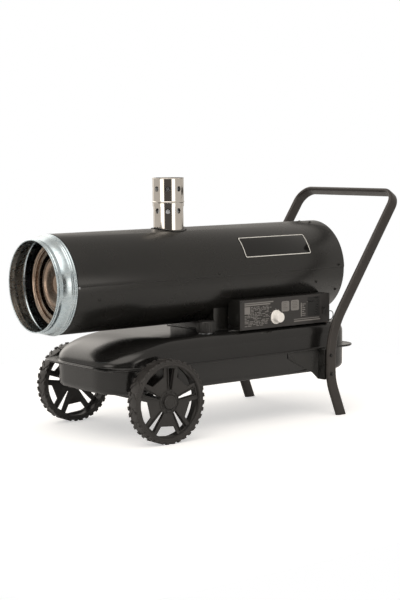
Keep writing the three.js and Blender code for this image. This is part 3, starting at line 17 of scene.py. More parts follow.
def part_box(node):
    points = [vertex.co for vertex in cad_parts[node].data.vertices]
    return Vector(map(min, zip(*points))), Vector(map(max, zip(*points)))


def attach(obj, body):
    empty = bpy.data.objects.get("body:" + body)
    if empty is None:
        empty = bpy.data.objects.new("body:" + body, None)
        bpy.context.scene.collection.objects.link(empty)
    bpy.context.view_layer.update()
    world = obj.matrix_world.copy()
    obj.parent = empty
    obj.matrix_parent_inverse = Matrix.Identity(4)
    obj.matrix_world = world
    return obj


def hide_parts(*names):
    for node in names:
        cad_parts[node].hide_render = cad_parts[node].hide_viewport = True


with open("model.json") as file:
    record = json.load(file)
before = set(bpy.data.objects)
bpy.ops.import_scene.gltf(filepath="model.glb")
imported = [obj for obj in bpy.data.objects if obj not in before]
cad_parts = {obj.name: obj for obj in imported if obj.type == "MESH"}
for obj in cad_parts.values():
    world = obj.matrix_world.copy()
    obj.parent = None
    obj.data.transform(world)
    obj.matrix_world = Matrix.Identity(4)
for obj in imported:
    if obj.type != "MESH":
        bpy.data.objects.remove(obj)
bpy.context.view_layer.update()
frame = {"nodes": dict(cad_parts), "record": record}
MM = 0.001

# %% [markdown]
# ## The camera
# A photograph can be matched by eye, or by solving for a pinhole camera from places known on the object.
# The second way was used: the drum's ends, the wheels and the feet fix where the lens stood and pointed.
# The lens is long, so the object looks almost flat, and a small shift puts it off the middle of the frame.

# %% Place the camera
CAMERA_PLACE = Vector((-2983.04, -3851.1, 897.2)) * MM
CAMERA_YAW = math.radians(37.48)
CAMERA_PITCH = math.radians(6.40)
CAMERA_ROLL = math.radians(-0.59)
FOCAL_LENGTH = 89.78
SENSOR = 36
SHIFT = (0.0024, 0.0209)
FAR_LIMIT = 100

ahead = Vector((
    math.sin(CAMERA_YAW) * math.cos(CAMERA_PITCH),
    math.cos(CAMERA_YAW) * math.cos(CAMERA_PITCH),
    -math.sin(CAMERA_PITCH),
))
level = Vector((math.cos(CAMERA_YAW), -math.sin(CAMERA_YAW), 0))
upright = level.cross(ahead)
right = level * math.cos(CAMERA_ROLL) + upright * math.sin(CAMERA_ROLL)
over = upright * math.cos(CAMERA_ROLL) - level * math.sin(CAMERA_ROLL)
camera = bpy.data.objects.new("camera", bpy.data.cameras.new("camera"))
bpy.context.scene.collection.objects.link(camera)
camera.matrix_world = Matrix((right, over, -ahead)).transposed().to_4x4()
camera.location = CAMERA_PLACE
camera.data.lens = FOCAL_LENGTH
camera.data.sensor_width = SENSOR
camera.data.shift_x, camera.data.shift_y = SHIFT
camera.data.clip_end = FAR_LIMIT
bpy.context.scene.camera = camera

# %% [markdown]
# ## Floor and light
# A product like this is photographed on a white sweep: floor and background both come out white.
# One plane makes the floor. It glows a little for the camera, so it reads as white but still takes a shadow.
# The light is the sky around the scene: a dim room, a bright backdrop behind the object and three soft lamps.
# Gloss and bare metal live from what they mirror, so the photographer's place is a dark patch.
# The floor is only 3 m wide, because a wall of the object would otherwise mirror nothing but floor.

# %% A helper that adds a node, and one that reads a colour
def linear(hex_colour):
    """The linear colour that Blender works with, from an sRGB colour as a design program writes it."""
    shares = [int(hex_colour[i : i + 2], 16) / 255 for i in (0, 2, 4)]
    return [s / 12.92 if s <= 0.04045 else ((s + 0.055) / 1.055) ** 2.4 for s in shares] + [1]


def add_node(tree, kind, values=None, links=None, **settings):
    """Adds a node with its settings, the values of its sockets and the sockets that it is linked to."""
    node = tree.nodes.new("ShaderNode" + kind)
    for name, value in settings.items():
        setattr(node, name, value)
    for socket, value in (values or {}).items():
        node.inputs[socket].default_value = value
    for socket, source in (links or {}).items():
        tree.links.new(source, node.inputs[socket])
    return node


print("mid grey is", [round(c, 3) for c in linear("808080")[:3]])

# %% Give the world its light
world = bpy.data.worlds.new("studio")
bpy.context.scene.world = world
world.use_nodes = True
sky = world.node_tree
sky.nodes.clear()
BASE_LEVEL = 0.62
# Where each lamp stands, the cosines at its outer and inner edge, and what it adds outside and inside.
LAMPS = (
    (Vector((0.0, 0.88, 0.42)), (0.84, 0.96), (0, 1.4)),
    (Vector((-0.98, -0.13, 0.05)), (0.95, 0.985), (0, 1.9)),
    (Vector((0.04, -0.97, 0.05)), (0.955, 0.985), (0, 1.7)),
    (Vector((-0.45, -0.3, 0.84)), (0.8, 0.96), (0, 1.7)),
)
# The dark patch has the same kind of row: it leaves all the light outside and a small share of it inside.
DARK_PATCH = (Vector((-math.sin(CAMERA_YAW), -math.cos(CAMERA_YAW), 0)), (0.85, 0.9), (1, 0.15))
direction = add_node(sky, "TexCoord").outputs["Generated"]
fields = []
for side, edges, levels in LAMPS + (DARK_PATCH,):
    facing = add_node(sky, "VectorMath", {1: side.normalized()}, {0: direction}, operation="DOT_PRODUCT")
    limits = {"From Min": edges[0], "From Max": edges[1], "To Min": levels[0], "To Max": levels[1]}
    field = add_node(
        sky, "MapRange", limits, {"Value": facing.outputs["Value"]}, interpolation_type="SMOOTHSTEP"
    )
    fields.append(field.outputs[0])
lit = add_node(sky, "Math", {1: BASE_LEVEL}, {0: fields[0]}, operation="ADD")
for field in fields[1:-1]:
    lit = add_node(sky, "Math", {}, {0: field, 1: lit.outputs[0]}, operation="ADD")
level_light = add_node(sky, "Math", {}, {0: lit.outputs[0], 1: fields[-1]}, operation="MULTIPLY")
for_camera = add_node(sky, "LightPath").outputs["Is Camera Ray"]
strength = add_node(sky, "Mix", {3: 1.0}, {0: for_camera, 2: level_light.outputs[0]}, data_type="FLOAT")
warmth = add_node(sky, "Mix", {6: linear("fff9f1"), 7: linear("ffffff")}, {0: for_camera}, data_type="RGBA")
background = add_node(sky, "Background", {}, {"Color": warmth.outputs[2], "Strength": strength.outputs[0]})
add_node(sky, "OutputWorld", {}, {"Surface": background.outputs[0]})
bpy.context.scene.view_settings.view_transform = "Standard"
print("room at", BASE_LEVEL, "with", len(LAMPS), "soft lamps")

# %% Lay the floor
FLOOR_SIZE = 3
FLOOR_GLOW = 0.45


def deselect():
    """Leaves edit mode and selects nothing."""
    if bpy.context.object and bpy.context.object.mode != "OBJECT":
        bpy.ops.object.mode_set(mode="OBJECT")
    bpy.ops.object.select_all(action="DESELECT")


deselect()
bpy.ops.mesh.primitive_plane_add(size=FLOOR_SIZE)
floor = bpy.context.object
floor.name = "floor"
floor_paint = bpy.data.materials.new("floor_paint")
floor_paint.use_nodes = True
tree = floor_paint.node_tree
tree.nodes.clear()
matt = add_node(tree, "BsdfDiffuse", {"Color": linear("e6e6e6")})
seen = add_node(tree, "LightPath").outputs
direct = add_node(
    tree, "Math", {}, {0: seen["Is Camera Ray"], 1: seen["Is Transmission Ray"]}, operation="MAXIMUM"
)
glow_level = add_node(tree, "Math", {1: FLOOR_GLOW}, {0: direct.outputs[0]}, operation="MULTIPLY")
glow = add_node(tree, "Emission", {"Color": linear("ffffff")}, {"Strength": glow_level.outputs[0]})
both = add_node(tree, "AddShader", {}, {0: matt.outputs[0], 1: glow.outputs[0]})
add_node(tree, "OutputMaterial", {}, {"Surface": both.outputs[0]})
floor.data.materials.append(floor_paint)
print("floor is", FLOOR_SIZE, "m wide")

# %% [markdown]
# ## Finishes
# Each finish starts as one Principled shader, whose plain values are those of the real material.
# Patterns are laid on in Object coordinates, in metres, so a pattern of 5 mm has a scale of 1 / 0.005.
# A tint, a change of roughness and a small bump each follow one pattern. The slower pattern keeps a large
# surface from looking dead, and the fine one is the grain of the material.

# %% Helpers that start a finish and lay patterns on it
FINISHES = {}


def start_finish(slot, name, colour, roughness, metallic=0.0, **sockets):
    """A material with a Principled shader: gives its tree, its shader and its Object coordinates."""
    material = bpy.data.materials.new(name)
    material.use_nodes = True
    tree = material.node_tree
    shader = tree.nodes["Principled BSDF"]
    shader.inputs["Base Color"].default_value = linear(colour)
    shader.inputs["Roughness"].default_value = roughness
    shader.inputs["Metallic"].default_value = metallic
    for socket, value in sockets.items():
        shader.inputs[socket].default_value = value
    FINISHES[slot] = material
    print(name, "is the finish of", slot)
    return tree, shader, add_node(tree, "TexCoord").outputs["Object"]


def millimetres(size):
    """The scale of a pattern whose marks are that many millimetres wide."""
    return 1 / (size * MM)


def lay_on(tree, shader, tint, rub=None, skin=None):
    """Lays patterns on a finish. Each of the three is a pattern and two values.

    A tint has two tones, a rub has two roughnesses, and a skin has the bump's strength and height in mm."""
    pattern, low, high = tint
    tone = add_node(tree, "Mix", {6: linear(low), 7: linear(high)}, {0: pattern.outputs[0]}, data_type="RGBA")
    tree.links.new(tone.outputs[2], shader.inputs["Base Color"])
    if rub:
        pattern, low, high = rub
        gloss = add_node(tree, "MapRange", {"To Min": low, "To Max": high}, {"Value": pattern.outputs[0]})
        tree.links.new(gloss.outputs[0], shader.inputs["Roughness"])
    if skin:
        pattern, strength, height = skin
        relief = {"Strength": strength, "Distance": height * MM}
        bump = add_node(tree, "Bump", relief, {"Height": pattern.outputs[0]})
        tree.links.new(bump.outputs[0], shader.inputs["Normal"])


print("marks of 5 mm have a scale of", millimetres(5))

# %% Black powder coat on the drum
# Powder melts to a thick satin skin: deep black, with the faint unevenness of orange peel.
tree, shader, place = start_finish("casing_paint", "black_powder_coat", "1b1b1a", 0.27, IOR=1.5)
peel = add_node(tree, "TexNoise", {"Scale": millimetres(2.2), "Detail": 1}, {"Vector": place})
sheen = add_node(tree, "TexNoise", {"Scale": millimetres(140), "Detail": 3}, {"Vector": place})
lay_on(tree, shader, (sheen, "181817", "1f1e1c"), (sheen, 0.2, 0.34), (peel, 0.25, 0.03))

# %% Black enamel on the tank
# A wet sprayed and stoved enamel runs out smoother than powder, so the tank mirrors its surroundings more.
tree, shader, place = start_finish("tank_paint", "black_stoved_enamel", "191918", 0.16, IOR=1.52)
flow = add_node(tree, "TexNoise", {"Scale": millimetres(6), "Detail": 2}, {"Vector": place})
sheen = add_node(tree, "TexNoise", {"Scale": millimetres(90), "Detail": 2}, {"Vector": place})
lay_on(tree, shader, (sheen, "161616", "1d1c1b"), (sheen, 0.12, 0.24), (flow, 0.2, 0.03))

# %% Grey coat on the handle tube
# The tube has a thin grey-brown powder coat with a little metal flake, so it is lighter towards the light.
tree, shader, place = start_finish("tube_paint", "grey_tube_coat", "35312f", 0.34, 0.25)
flake = add_node(tree, "TexVoronoi", {"Scale": millimetres(0.9)}, {"Vector": place})
wear = add_node(tree, "TexNoise", {"Scale": millimetres(45), "Detail": 4}, {"Vector": place})
lay_on(tree, shader, (wear, "2f2b29", "3d3936"), (wear, 0.3, 0.46), (flake, 0.15, 0.02))

# %% Galvanised sheet of the outlet collar
# Hot dip zinc sets in flat crystals. Each leans its own way, so neighbours differ in brightness: the spangle.
# Real spangle is 5 to 15 mm wide, and here it is stretched a little along the rolling direction.
# Its colour mixes two pairs of tones: one goes from crystal to crystal, the other in slow clouds.
tree, shader, place = start_finish("galvanised", "galvanised_sheet", "c0c8c8", 0.24, 1.0)
laid = add_node(tree, "Mapping", {"Scale": (0.6, 1, 1)}, {"Vector": place})
crystal = add_node(tree, "TexVoronoi", {"Scale": millimetres(8)}, {"Vector": laid.outputs[0]})
cloud = add_node(tree, "TexNoise", {"Scale": millimetres(60), "Detail": 3}, {"Vector": place})
lean = add_node(tree, "SeparateColor", {}, {"Color": crystal.outputs["Color"]})
tones = []
for pattern, low, high in ((lean, "b0c0c8", "d0dce0"), (cloud, "bccfd9", "d4d5d4")):
    tone = add_node(tree, "Mix", {6: linear(low), 7: linear(high)}, {0: pattern.outputs[0]}, data_type="RGBA")
    tones.append(tone.outputs[2])
zinc = add_node(tree, "Mix", {0: 0.5}, {6: tones[0], 7: tones[1]}, data_type="RGBA")
rub = add_node(tree, "MapRange", {"To Min": 0.22, "To Max": 0.34}, {"Value": lean.outputs[1]})
facet = add_node(tree, "Bump", {"Strength": 0.05, "Distance": 0.02 * MM}, {"Height": lean.outputs[2]})
tree.links.new(zinc.outputs[2], shader.inputs["Base Color"])
tree.links.new(rub.outputs[0], shader.inputs["Roughness"])
tree.links.new(facet.outputs[0], shader.inputs["Normal"])

# %% Bright stainless of the flue
# Bright annealed stainless comes off the mill like a slightly soft mirror, with fine lines round the pipe.
tree, shader, place = start_finish("stainless", "bright_stainless", "d8d5d0", 0.12, 1.0)
around = add_node(tree, "Mapping", {"Scale": (0.03, 0.03, 1)}, {"Vector": place})
lines = add_node(tree, "TexNoise", {"Scale": millimetres(0.8), "Detail": 2}, {"Vector": around.outputs[0]})
smoke = add_node(tree, "TexNoise", {"Scale": millimetres(35), "Detail": 3}, {"Vector": place})
lay_on(tree, shader, (smoke, "dedbd6", "cbc3b9"), (lines, 0.05, 0.12), (lines, 0.05, 0.004))

# %% Heat tinted steel of the chamber and the exchanger
# Stainless that has been red hot keeps an oxide film: straw where it stayed cooler, brown where it glowed.
tree, shader, place = start_finish("heat_steel", "heat_tinted_stainless", "8f7b6c", 0.26, 1.0)
glowed = {"Scale": millimetres(55), "Detail": 4, "Distortion": 0.6}
heat = add_node(tree, "TexNoise", glowed, {"Vector": place})
scale = add_node(tree, "TexNoise", {"Scale": millimetres(3), "Detail": 3}, {"Vector": place})
lay_on(tree, shader, (heat, "77604f", "b3a294"), (scale, 0.18, 0.34), (scale, 0.05, 0.02))

# %% Tyre rubber
# Carbon black rubber is matt, and its mould leaves a fine grain. Dust makes it greyer here and there.
tree, shader, place = start_finish("tyre", "carbon_black_rubber", "2b2928", 0.46, IOR=1.52)
grain = add_node(tree, "TexNoise", {"Scale": millimetres(0.9), "Detail": 3}, {"Vector": place})
dust = add_node(tree, "TexNoise", {"Scale": millimetres(20), "Detail": 4}, {"Vector": place})
lay_on(tree, shader, (dust, "242221", "34312f"), (grain, 0.38, 0.55), (grain, 0.35, 0.08))

# %% Moulded polypropylene of the wheels
# The mould is spark eroded, so the plastic has an even fine grain and a soft, slightly waxy shine.
tree, shader, place = start_finish("wheel_plastic", "moulded_polypropylene", "2a2928", 0.42, IOR=1.49)
grain = add_node(tree, "TexVoronoi", {"Scale": millimetres(0.7)}, {"Vector": place})
flow = add_node(tree, "TexNoise", {"Scale": millimetres(60), "Detail": 2}, {"Vector": place})
lay_on(tree, shader, (flow, "262524", "2f2d2b"), (flow, 0.36, 0.5), (grain, 0.25, 0.04))

# %% Glass filled black nylon of the cap, switch and small housings
# Nylon with glass fibre is matt in some places and shiny in others, where the melt froze against the mould.
tree, shader, place = start_finish("black_plastic", "black_glass_nylon", "1d1d1c", 0.45, IOR=1.53)
fibre = add_node(tree, "TexNoise", {"Scale": millimetres(1.1), "Detail": 5}, {"Vector": place})
flow = add_node(tree, "TexNoise", {"Scale": millimetres(14), "Detail": 2}, {"Vector": place})
lay_on(tree, shader, (flow, "1a1a19", "232221"), (flow, 0.35, 0.58), (fibre, 0.2, 0.03))

# %% Gloss acrylic of the plate on the drum
# A back printed acrylic plate is as smooth as glass. Only hairline scratches from wiping break its shine,
# so the roughness rises only where the scratch pattern is above its middle.
tree, shader, place = start_finish("plate_plastic", "gloss_acrylic_plate", "121212", 0.08, IOR=1.49)
laid = add_node(tree, "Mapping", {"Rotation": (0, 0.5, 0), "Scale": (0.04, 1, 1)}, {"Vector": place})
scratch = add_node(tree, "TexNoise", {"Scale": millimetres(0.6), "Detail": 2}, {"Vector": laid.outputs[0]})
wiped = {"From Min": 0.5, "From Max": 0.8, "To Min": 0.06, "To Max": 0.2}
rub = add_node(tree, "MapRange", wiped, {"Value": scratch.outputs[0]})
tree.links.new(rub.outputs[0], shader.inputs["Roughness"])
lay_on(tree, shader, (scratch, "101010", "171716"))

# %% Polyester film of the fascia, and the ink printed on it
# The panel film has a fine satin texture against glare. Its screen printed ink keeps the mark of the mesh.
tree, shader, place = start_finish("fascia_print", "satin_polyester_film", "302e2d", 0.42, IOR=1.57)
satin = add_node(tree, "TexNoise", {"Scale": millimetres(0.5), "Detail": 2}, {"Vector": place})
cloud = add_node(tree, "TexNoise", {"Scale": millimetres(70), "Detail": 2}, {"Vector": place})
lay_on(tree, shader, (cloud, "1d1b1a", "262322"), (satin, 0.38, 0.5), (satin, 0.15, 0.01))
for name, light, dark in (
    ("grey_ink", "8f8c89", "6f6c6a"),
    ("white_ink", "efeeea", "d9d8d3"),
    ("black_ink", "121211", "0a0a0a"),
):
    tree, shader, place = start_finish(name, name, light, 0.5, IOR=1.5)
    mesh_mark = add_node(tree, "TexNoise", {"Scale": millimetres(0.6), "Detail": 2}, {"Vector": place})
    lay_on(tree, shader, (mesh_mark, light, dark))

# %% Cream ABS of the thermostat knob
# ABS takes a clean moulded finish. The cream colour yellows a little where it is not wiped.
tree, shader, place = start_finish("knob_plastic", "cream_abs", "faf8f2", 0.35, IOR=1.54)
cloud = add_node(tree, "TexNoise", {"Scale": millimetres(12), "Detail": 3}, {"Vector": place})
lay_on(tree, shader, (cloud, "fdfbf8", "f6f3ee"), (cloud, 0.28, 0.42))

# %% Bare and plated metals inside and underneath
# Plated steel, cast and pressed aluminium, brass and copper differ in colour, grain and polish.
# Each row gives the slot, the finish, its light and dark tones, its roughness and the width of its grain.
METALS = (
    ("steel", "zinc_plated_steel", "c4c6c8", "9fa3a8", 0.28, 9),
    ("cast_housing", "cast_aluminium", "9b9c9d", "7f8183", 0.48, 1.6),
    ("fan_alloy", "pressed_aluminium", "b6b8ba", "989b9e", 0.34, 24),
    ("brass", "turned_brass", "c5a15a", "a9843f", 0.24, 6),
    ("copper", "drawn_copper", "c37b4c", "94552f", 0.3, 11),
)
for slot_name, name, light, dark, roughness, grain_size in METALS:
    tree, shader, place = start_finish(slot_name, name, light, roughness, 1.0)
    grain = add_node(tree, "TexNoise", {"Scale": millimetres(grain_size), "Detail": 4}, {"Vector": place})
    fine = add_node(tree, "TexNoise", {"Scale": millimetres(0.8), "Detail": 2}, {"Vector": place})
    rub = (grain, roughness - 0.08, roughness + 0.1)
    lay_on(tree, shader, (grain, light, dark), rub, (fine, 0.15, 0.03))

# %% Rubber hose, glazed ceramic and circuit board
# These are not metals, so their reflection is weak and colourless, and their own colour shows.
# The rows are like those of the metals, with the refractive index before the width of the grain.
OTHERS = (
    ("rubber", "extruded_nitrile_rubber", "201f1f", "2a2928", 0.55, 1.52, 2),
    ("ceramic", "glazed_ceramic", "ece8dd", "dcd5c4", 0.15, 1.55, 9),
    ("board_resin", "green_circuit_board", "2c5a3b", "1f4a2f", 0.3, 1.55, 5),
)
for slot_name, name, light, dark, roughness, ior, grain_size in OTHERS:
    tree, shader, place = start_finish(slot_name, name, light, roughness, IOR=ior)
    grain = add_node(tree, "TexNoise", {"Scale": millimetres(grain_size), "Detail": 4}, {"Vector": place})
    rub = (grain, roughness - 0.06, roughness + 0.1)
    lay_on(tree, shader, (grain, light, dark), rub, (grain, 0.15, 0.04))

# %% Paint the nodes of the working model
# Every node is given the finish of its slot. Most of the seen ones are replaced by finer pieces further down.
# The thermostat's lead is a copper pipe in a black sleeve, and only the sleeve is seen.
SLOTS = {row["node"]: row["material_slot"] for row in frame["record"]["subparts"]}
SLOTS["thermostat_capillary"] = "black_plastic"
for node_name, node in frame["nodes"].items():
    for material_slot in node.material_slots:
        material_slot.link = "OBJECT"
        material_slot.material = FINISHES[SLOTS[node_name]]
print(len(SLOTS), "nodes painted")

# %% [markdown]
# ## Ways of making a piece
# Four ways cover most of this machine. A turned part is an outline spun round an axis. A plate is an outline
# that is filled and extruded. A drawn part, such as a tank half, is a ring that is extruded and laid anew
# ring by ring. And where the working model already has the true form, a copy of it gets its rounded edges.

# %% Helpers that start, finish and hand over a piece
CLOSE = 0.01 * MM
FULL_TURN = 2 * math.pi
EDGE_ANGLE = 35
SHADE_ANGLE = 40
FLAT_ANGLE = 1


def only(piece):
    """Selects one piece and makes it the active one."""
    deselect()
    piece.select_set(True)
    bpy.context.view_layer.objects.active = piece


def laid_loop(name, points):
    """A circle of as many points as the outline has, laid on the outline and left selected in edit mode."""
    deselect()
    bpy.ops.mesh.primitive_circle_add(vertices=len(points), radius=1)
    piece = bpy.context.object
    piece.name = piece.data.name = name
    for vertex, point in zip(piece.data.vertices, points):
        vertex.co = point
    bpy.ops.object.mode_set(mode="EDIT")
    bpy.ops.mesh.select_all(action="SELECT")
    return piece


def closed_up(piece):
    """Merges doubles, points the faces outwards and leaves edit mode."""
    bpy.ops.mesh.select_all(action="SELECT")
    bpy.ops.mesh.remove_doubles(threshold=CLOSE)
    bpy.ops.mesh.dissolve_degenerate(threshold=CLOSE)
    bpy.ops.mesh.delete_loose(use_faces=False)
    bpy.ops.mesh.select_all(action="SELECT")
    bpy.ops.mesh.normals_make_consistent(inside=False)
    bpy.ops.object.mode_set(mode="OBJECT")
    return piece


def soft(piece, angle=EDGE_ANGLE):
    """Shades the piece smooth, but for edges sharper than the angle."""
    only(piece)
    bpy.ops.object.shade_smooth_by_angle(angle=math.radians(angle))
    return piece


def rounded(piece, width, segments=2, angle=EDGE_ANGLE):
    """Rounds the edges that are sharper than the angle, then shades the rest smooth."""
    only(piece)
    bevel = piece.modifiers.new("edges", "BEVEL")
    bevel.width = width * MM
    bevel.segments = segments
    bevel.limit_method = "ANGLE"
    bevel.angle_limit = math.radians(angle)
    bpy.ops.object.modifier_apply(modifier=bevel.name)
    return soft(piece, SHADE_ANGLE)


def painted(piece, slot_name):
    """Gives the piece one finish all over."""
    for material_slot in piece.material_slots:
        material_slot.link = "DATA"
    piece.data.materials.clear()
    piece.data.materials.append(FINISHES[slot_name])
    return piece


def hand_over(piece, body, slot_name, *nodes):
    """The piece gets its finish, moves with its body and stands for those nodes. Inks are print."""
    painted(piece, slot_name)
    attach(piece, body)
    if nodes:
        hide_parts(*nodes)
    mesh = bmesh.new()
    mesh.from_mesh(piece.data)
    open_edges = sum(not edge.is_manifold for edge in mesh.edges)
    print(piece.name, "rides on", body, "with", len(mesh.faces), "faces and", open_edges, "open edges")
    mesh.free()
    return piece


def body_of(node_name):
    """The body that a node of the working model moves with."""
    for body, members in frame["record"]["behaviour"]["bodies"].items():
        if node_name in members:
            return body
    return "chassis"


def fine_copy(node_name, width, segments=2):
    """A copy of a node with its own mesh and rounded edges."""
    piece = frame["nodes"][node_name].copy()
    piece.data = piece.data.copy()
    piece.parent = None
    for key in list(piece.keys()):
        del piece[key]
    bpy.context.scene.collection.objects.link(piece)
    piece.name = piece.data.name = node_name + "_fine"
    only(piece)
    bpy.ops.object.mode_set(mode="EDIT")
    bpy.ops.mesh.select_all(action="SELECT")
    bpy.ops.mesh.customdata_custom_splitnormals_clear()
    bpy.ops.mesh.remove_doubles(threshold=CLOSE)
    bpy.ops.mesh.dissolve_limited(angle_limit=math.radians(FLAT_ANGLE))
    bpy.ops.object.mode_set(mode="OBJECT")
    return painted(rounded(piece, width, segments), SLOTS[node_name])


def rounded_copies(widths, segments=2):
    """Copies with edges rounded by those widths, which take their nodes' places."""
    for node_name, width in widths.items():
        piece = fine_copy(node_name, width, segments)
        hand_over(piece, body_of(node_name), SLOTS[node_name], node_name)


def copied(piece, name, change):
    """A copy with its own mesh, moved or turned by a matrix."""
    twin = piece.copy()
    twin.data = piece.data.copy()
    twin.parent = None
    twin.name = twin.data.name = name
    bpy.context.scene.collection.objects.link(twin)
    twin.data.transform(change)
    return twin


def turned_about(centre, axis, angle):
    """The matrix that turns a piece about an axis through a centre given in mm."""
    centre = Vector(centre) * MM
    return Matrix.Translation(centre) @ Matrix.Rotation(angle, 4, axis) @ Matrix.Translation(-centre)


def cylinder(sides, radius, depth, place, direction=Vector((0, 0, 1))):
    """A cylinder round a place, along a direction. Sizes in mm."""
    deselect()
    bpy.ops.mesh.primitive_cylinder_add(
        vertices=sides, radius=radius * MM, depth=depth * MM, location=Vector(place) * MM,
        rotation=direction.to_track_quat("Z", "Y").to_euler(),
    )
    return bpy.context.object


def carve(piece, cutter):
    """Cuts the cutter's shape out of the piece and removes the cutter."""
    only(piece)
    cut = piece.modifiers.new("cut", "BOOLEAN")
    cut.operation = "DIFFERENCE"
    cut.solver = "EXACT"
    cut.object = cutter
    bpy.ops.object.modifier_apply(modifier=cut.name)
    bpy.data.objects.remove(cutter)


def joined(name, pieces):
    """Several pieces made one."""
    deselect()
    for piece in pieces:
        piece.select_set(True)
    bpy.context.view_layer.objects.active = pieces[0]
    bpy.ops.object.join()
    pieces[0].name = pieces[0].data.name = name
    return pieces[0]


print("a full turn is", round(FULL_TURN, 3))

# %% Helpers for turned parts, plates and ring stacks
OUTWARD = {"x": Vector((0, 0, 1)), "y": Vector((0, 0, 1)), "z": Vector((1, 0, 0))}
ALONG = {"x": Vector((1, 0, 0)), "y": Vector((0, 1, 0)), "z": Vector((0, 0, 1))}


def turned(name, outline, centre, axis, steps=48):
    """Spins a closed outline of (radius, place along the axis), in mm, round the axis through centre."""
    centre = Vector(centre) * MM
    points = [centre + (OUTWARD[axis] * radius + ALONG[axis] * along) * MM for radius, along in outline]
    piece = laid_loop(name, points)
    bpy.ops.mesh.spin(steps=steps, angle=FULL_TURN, center=centre, axis=ALONG[axis])
    return closed_up(piece)


def plate(name, outline, depth):
    """Fills an outline of points in mm and extrudes it by a vector in mm."""
    piece = laid_loop(name, [Vector(point) * MM for point in outline])
    bpy.ops.mesh.edge_face_add()
    bpy.ops.mesh.extrude_region_move(TRANSFORM_OT_translate={"value": Vector(depth) * MM})
    return closed_up(piece)


def lay_rings(name, rings, filled=True):
    """Lays a loop on the first ring, then extrudes its edge onto each next ring. Filled closes both ends."""
    piece = laid_loop(name, [Vector(point) * MM for point in rings[0]])
    if filled:
        bpy.ops.mesh.edge_face_add()
    order = list(range(len(rings[0])))
    for ring in rings[1:]:
        mesh = bmesh.from_edit_mesh(piece.data)
        mesh.verts.ensure_lookup_table()
        bpy.ops.mesh.select_all(action="DESELECT")
        for index, following in zip(order, order[1:] + order[:1]):
            mesh.edges.get((mesh.verts[index], mesh.verts[following])).select_set(True)
        bpy.ops.mesh.extrude_edges_move()
        mesh = bmesh.from_edit_mesh(piece.data)
        mesh.verts.ensure_lookup_table()
        new_edge = []
        for index, point in zip(order, ring):
            around = [edge.other_vert(mesh.verts[index]) for edge in mesh.verts[index].link_edges]
            fresh = next(vertex for vertex in around if vertex.select)
            fresh.co = Vector(point) * MM
            new_edge.append(fresh.index)
        order = new_edge
    bmesh.update_edit_mesh(piece.data)
    if filled:
        bpy.ops.mesh.edge_face_add()
    return closed_up(piece)


def in_mm(node_name):
    """A node's lowest and highest corners in mm."""
    low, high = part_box(node_name)
    return Vector(low) / MM, Vector(high) / MM


print("turned parts go round", ", ".join(ALONG))

# %% [markdown]
# ## The drum
# The casing is two half shells of 1.5 mm sheet that overlap at the sides and are screwed together.
# The working model already has their true form, so copies of it get the small radius of a folded edge.

# %% Round the edges of the sheet metal parts
rounded_copies({
    "drum_upper_shell": 0.5,
    "drum_lower_shell": 0.5,
    "flue_saddle": 0.6,
    "drum_support_front": 1.2,
    "drum_support_rear": 1.2,
    "control_box": 1.6,
    "leg_bracket_near": 0.8,
    "leg_bracket_far": 0.8,
    "axle_bracket": 1.2,
})

# %% [markdown]
# ## The fuel tank
# A deep drawn half starts as a flat sheet that a punch pushes into a die: its corners are wide and its walls
# smooth. A box with a bevel can't give the front, where the top runs down to the flange over a long slope.
# Instead one ring is laid after the other: flange, wall, and the shoulder as a quarter ellipse up to the top.
# Where the slope meets the wall the sheet keeps a soft crease, which fades towards the back.

# %% Sizes of the tank
TANK_SHEET = 1.5
FLANGE_WIDTH = 15
FLANGE_CORNER = 60
FRONT_BOW = 6.6
FRONT_CORNER = 115
REAR_CORNER = 85
TOP_FRONT_CORNER = 120
TOP_REAR_CORNER = 52
FRONT_SLOPE = 200
REAR_SLOPE = 32
SIDE_SLOPE = 30
WALL_HEIGHT_FRONT = 8
WALL_HEIGHT_SIDE = 44
WALL_RUN = 215
BOTTOM_RADIUS = 22
SEAM_GAP = 0.15
FILLET = 4
FLANGE_ROLL = 1.9
CREASE = 0.7
CREASE_FADE = (60, 330)
CREASE_LEVEL = 0.5
CORNER_STEPS = 14
SIDE_STEPS = 22
END_STEPS = 12
SHOULDER_STEPS = 18
BOTTOM_STEPS = 8
FILLET_STEPS = 4
LIP_STEPS = 3
tank_low, tank_high = in_mm("tank_upper_half")
tank_seam = tank_low.z - SEAM_GAP
tank_top = tank_high.z
tank_bottom = in_mm("tank_lower_half")[0].z
tank_half = tank_high.y - FLANGE_WIDTH
tank_front = tank_low.x + FRONT_BOW + FLANGE_WIDTH
tank_rear = tank_high.x - FLANGE_WIDTH


def quarter_turns(steps):
    """Angles from zero to a quarter turn in even steps."""
    return [math.pi / 2 * step / steps for step in range(steps + 1)]


def tank_outline(front, rear, half, front_corner, rear_corner):
    """Points (x, y) of a rounded rectangle whose front end bows out a little."""
    corners = (
        (rear - rear_corner, half - rear_corner, rear_corner, SIDE_STEPS),
        (front + front_corner, half - front_corner, front_corner, END_STEPS),
        (front + front_corner, front_corner - half, front_corner, SIDE_STEPS),
        (rear - rear_corner, rear_corner - half, rear_corner, END_STEPS),
    )
    arcs = []
    for quarter, (x, y, radius, steps) in enumerate(corners):
        turns = [(quarter + step / CORNER_STEPS) * math.pi / 2 for step in range(CORNER_STEPS + 1)]
        arcs.append([(x + radius * math.cos(turn), y + radius * math.sin(turn)) for turn in turns])
    points = []
    for index, arc in enumerate(arcs):
        points += arc
        start, end = Vector(arc[-1]), Vector(arcs[(index + 1) % 4][0])
        steps = corners[index][3]
        points += [start.lerp(end, step / steps) for step in range(1, steps)]
    middle = (front + rear) / 2
    return [(x - (FRONT_BOW * (1 - (y / half) ** 2) if x < middle else 0), y) for x, y in points]


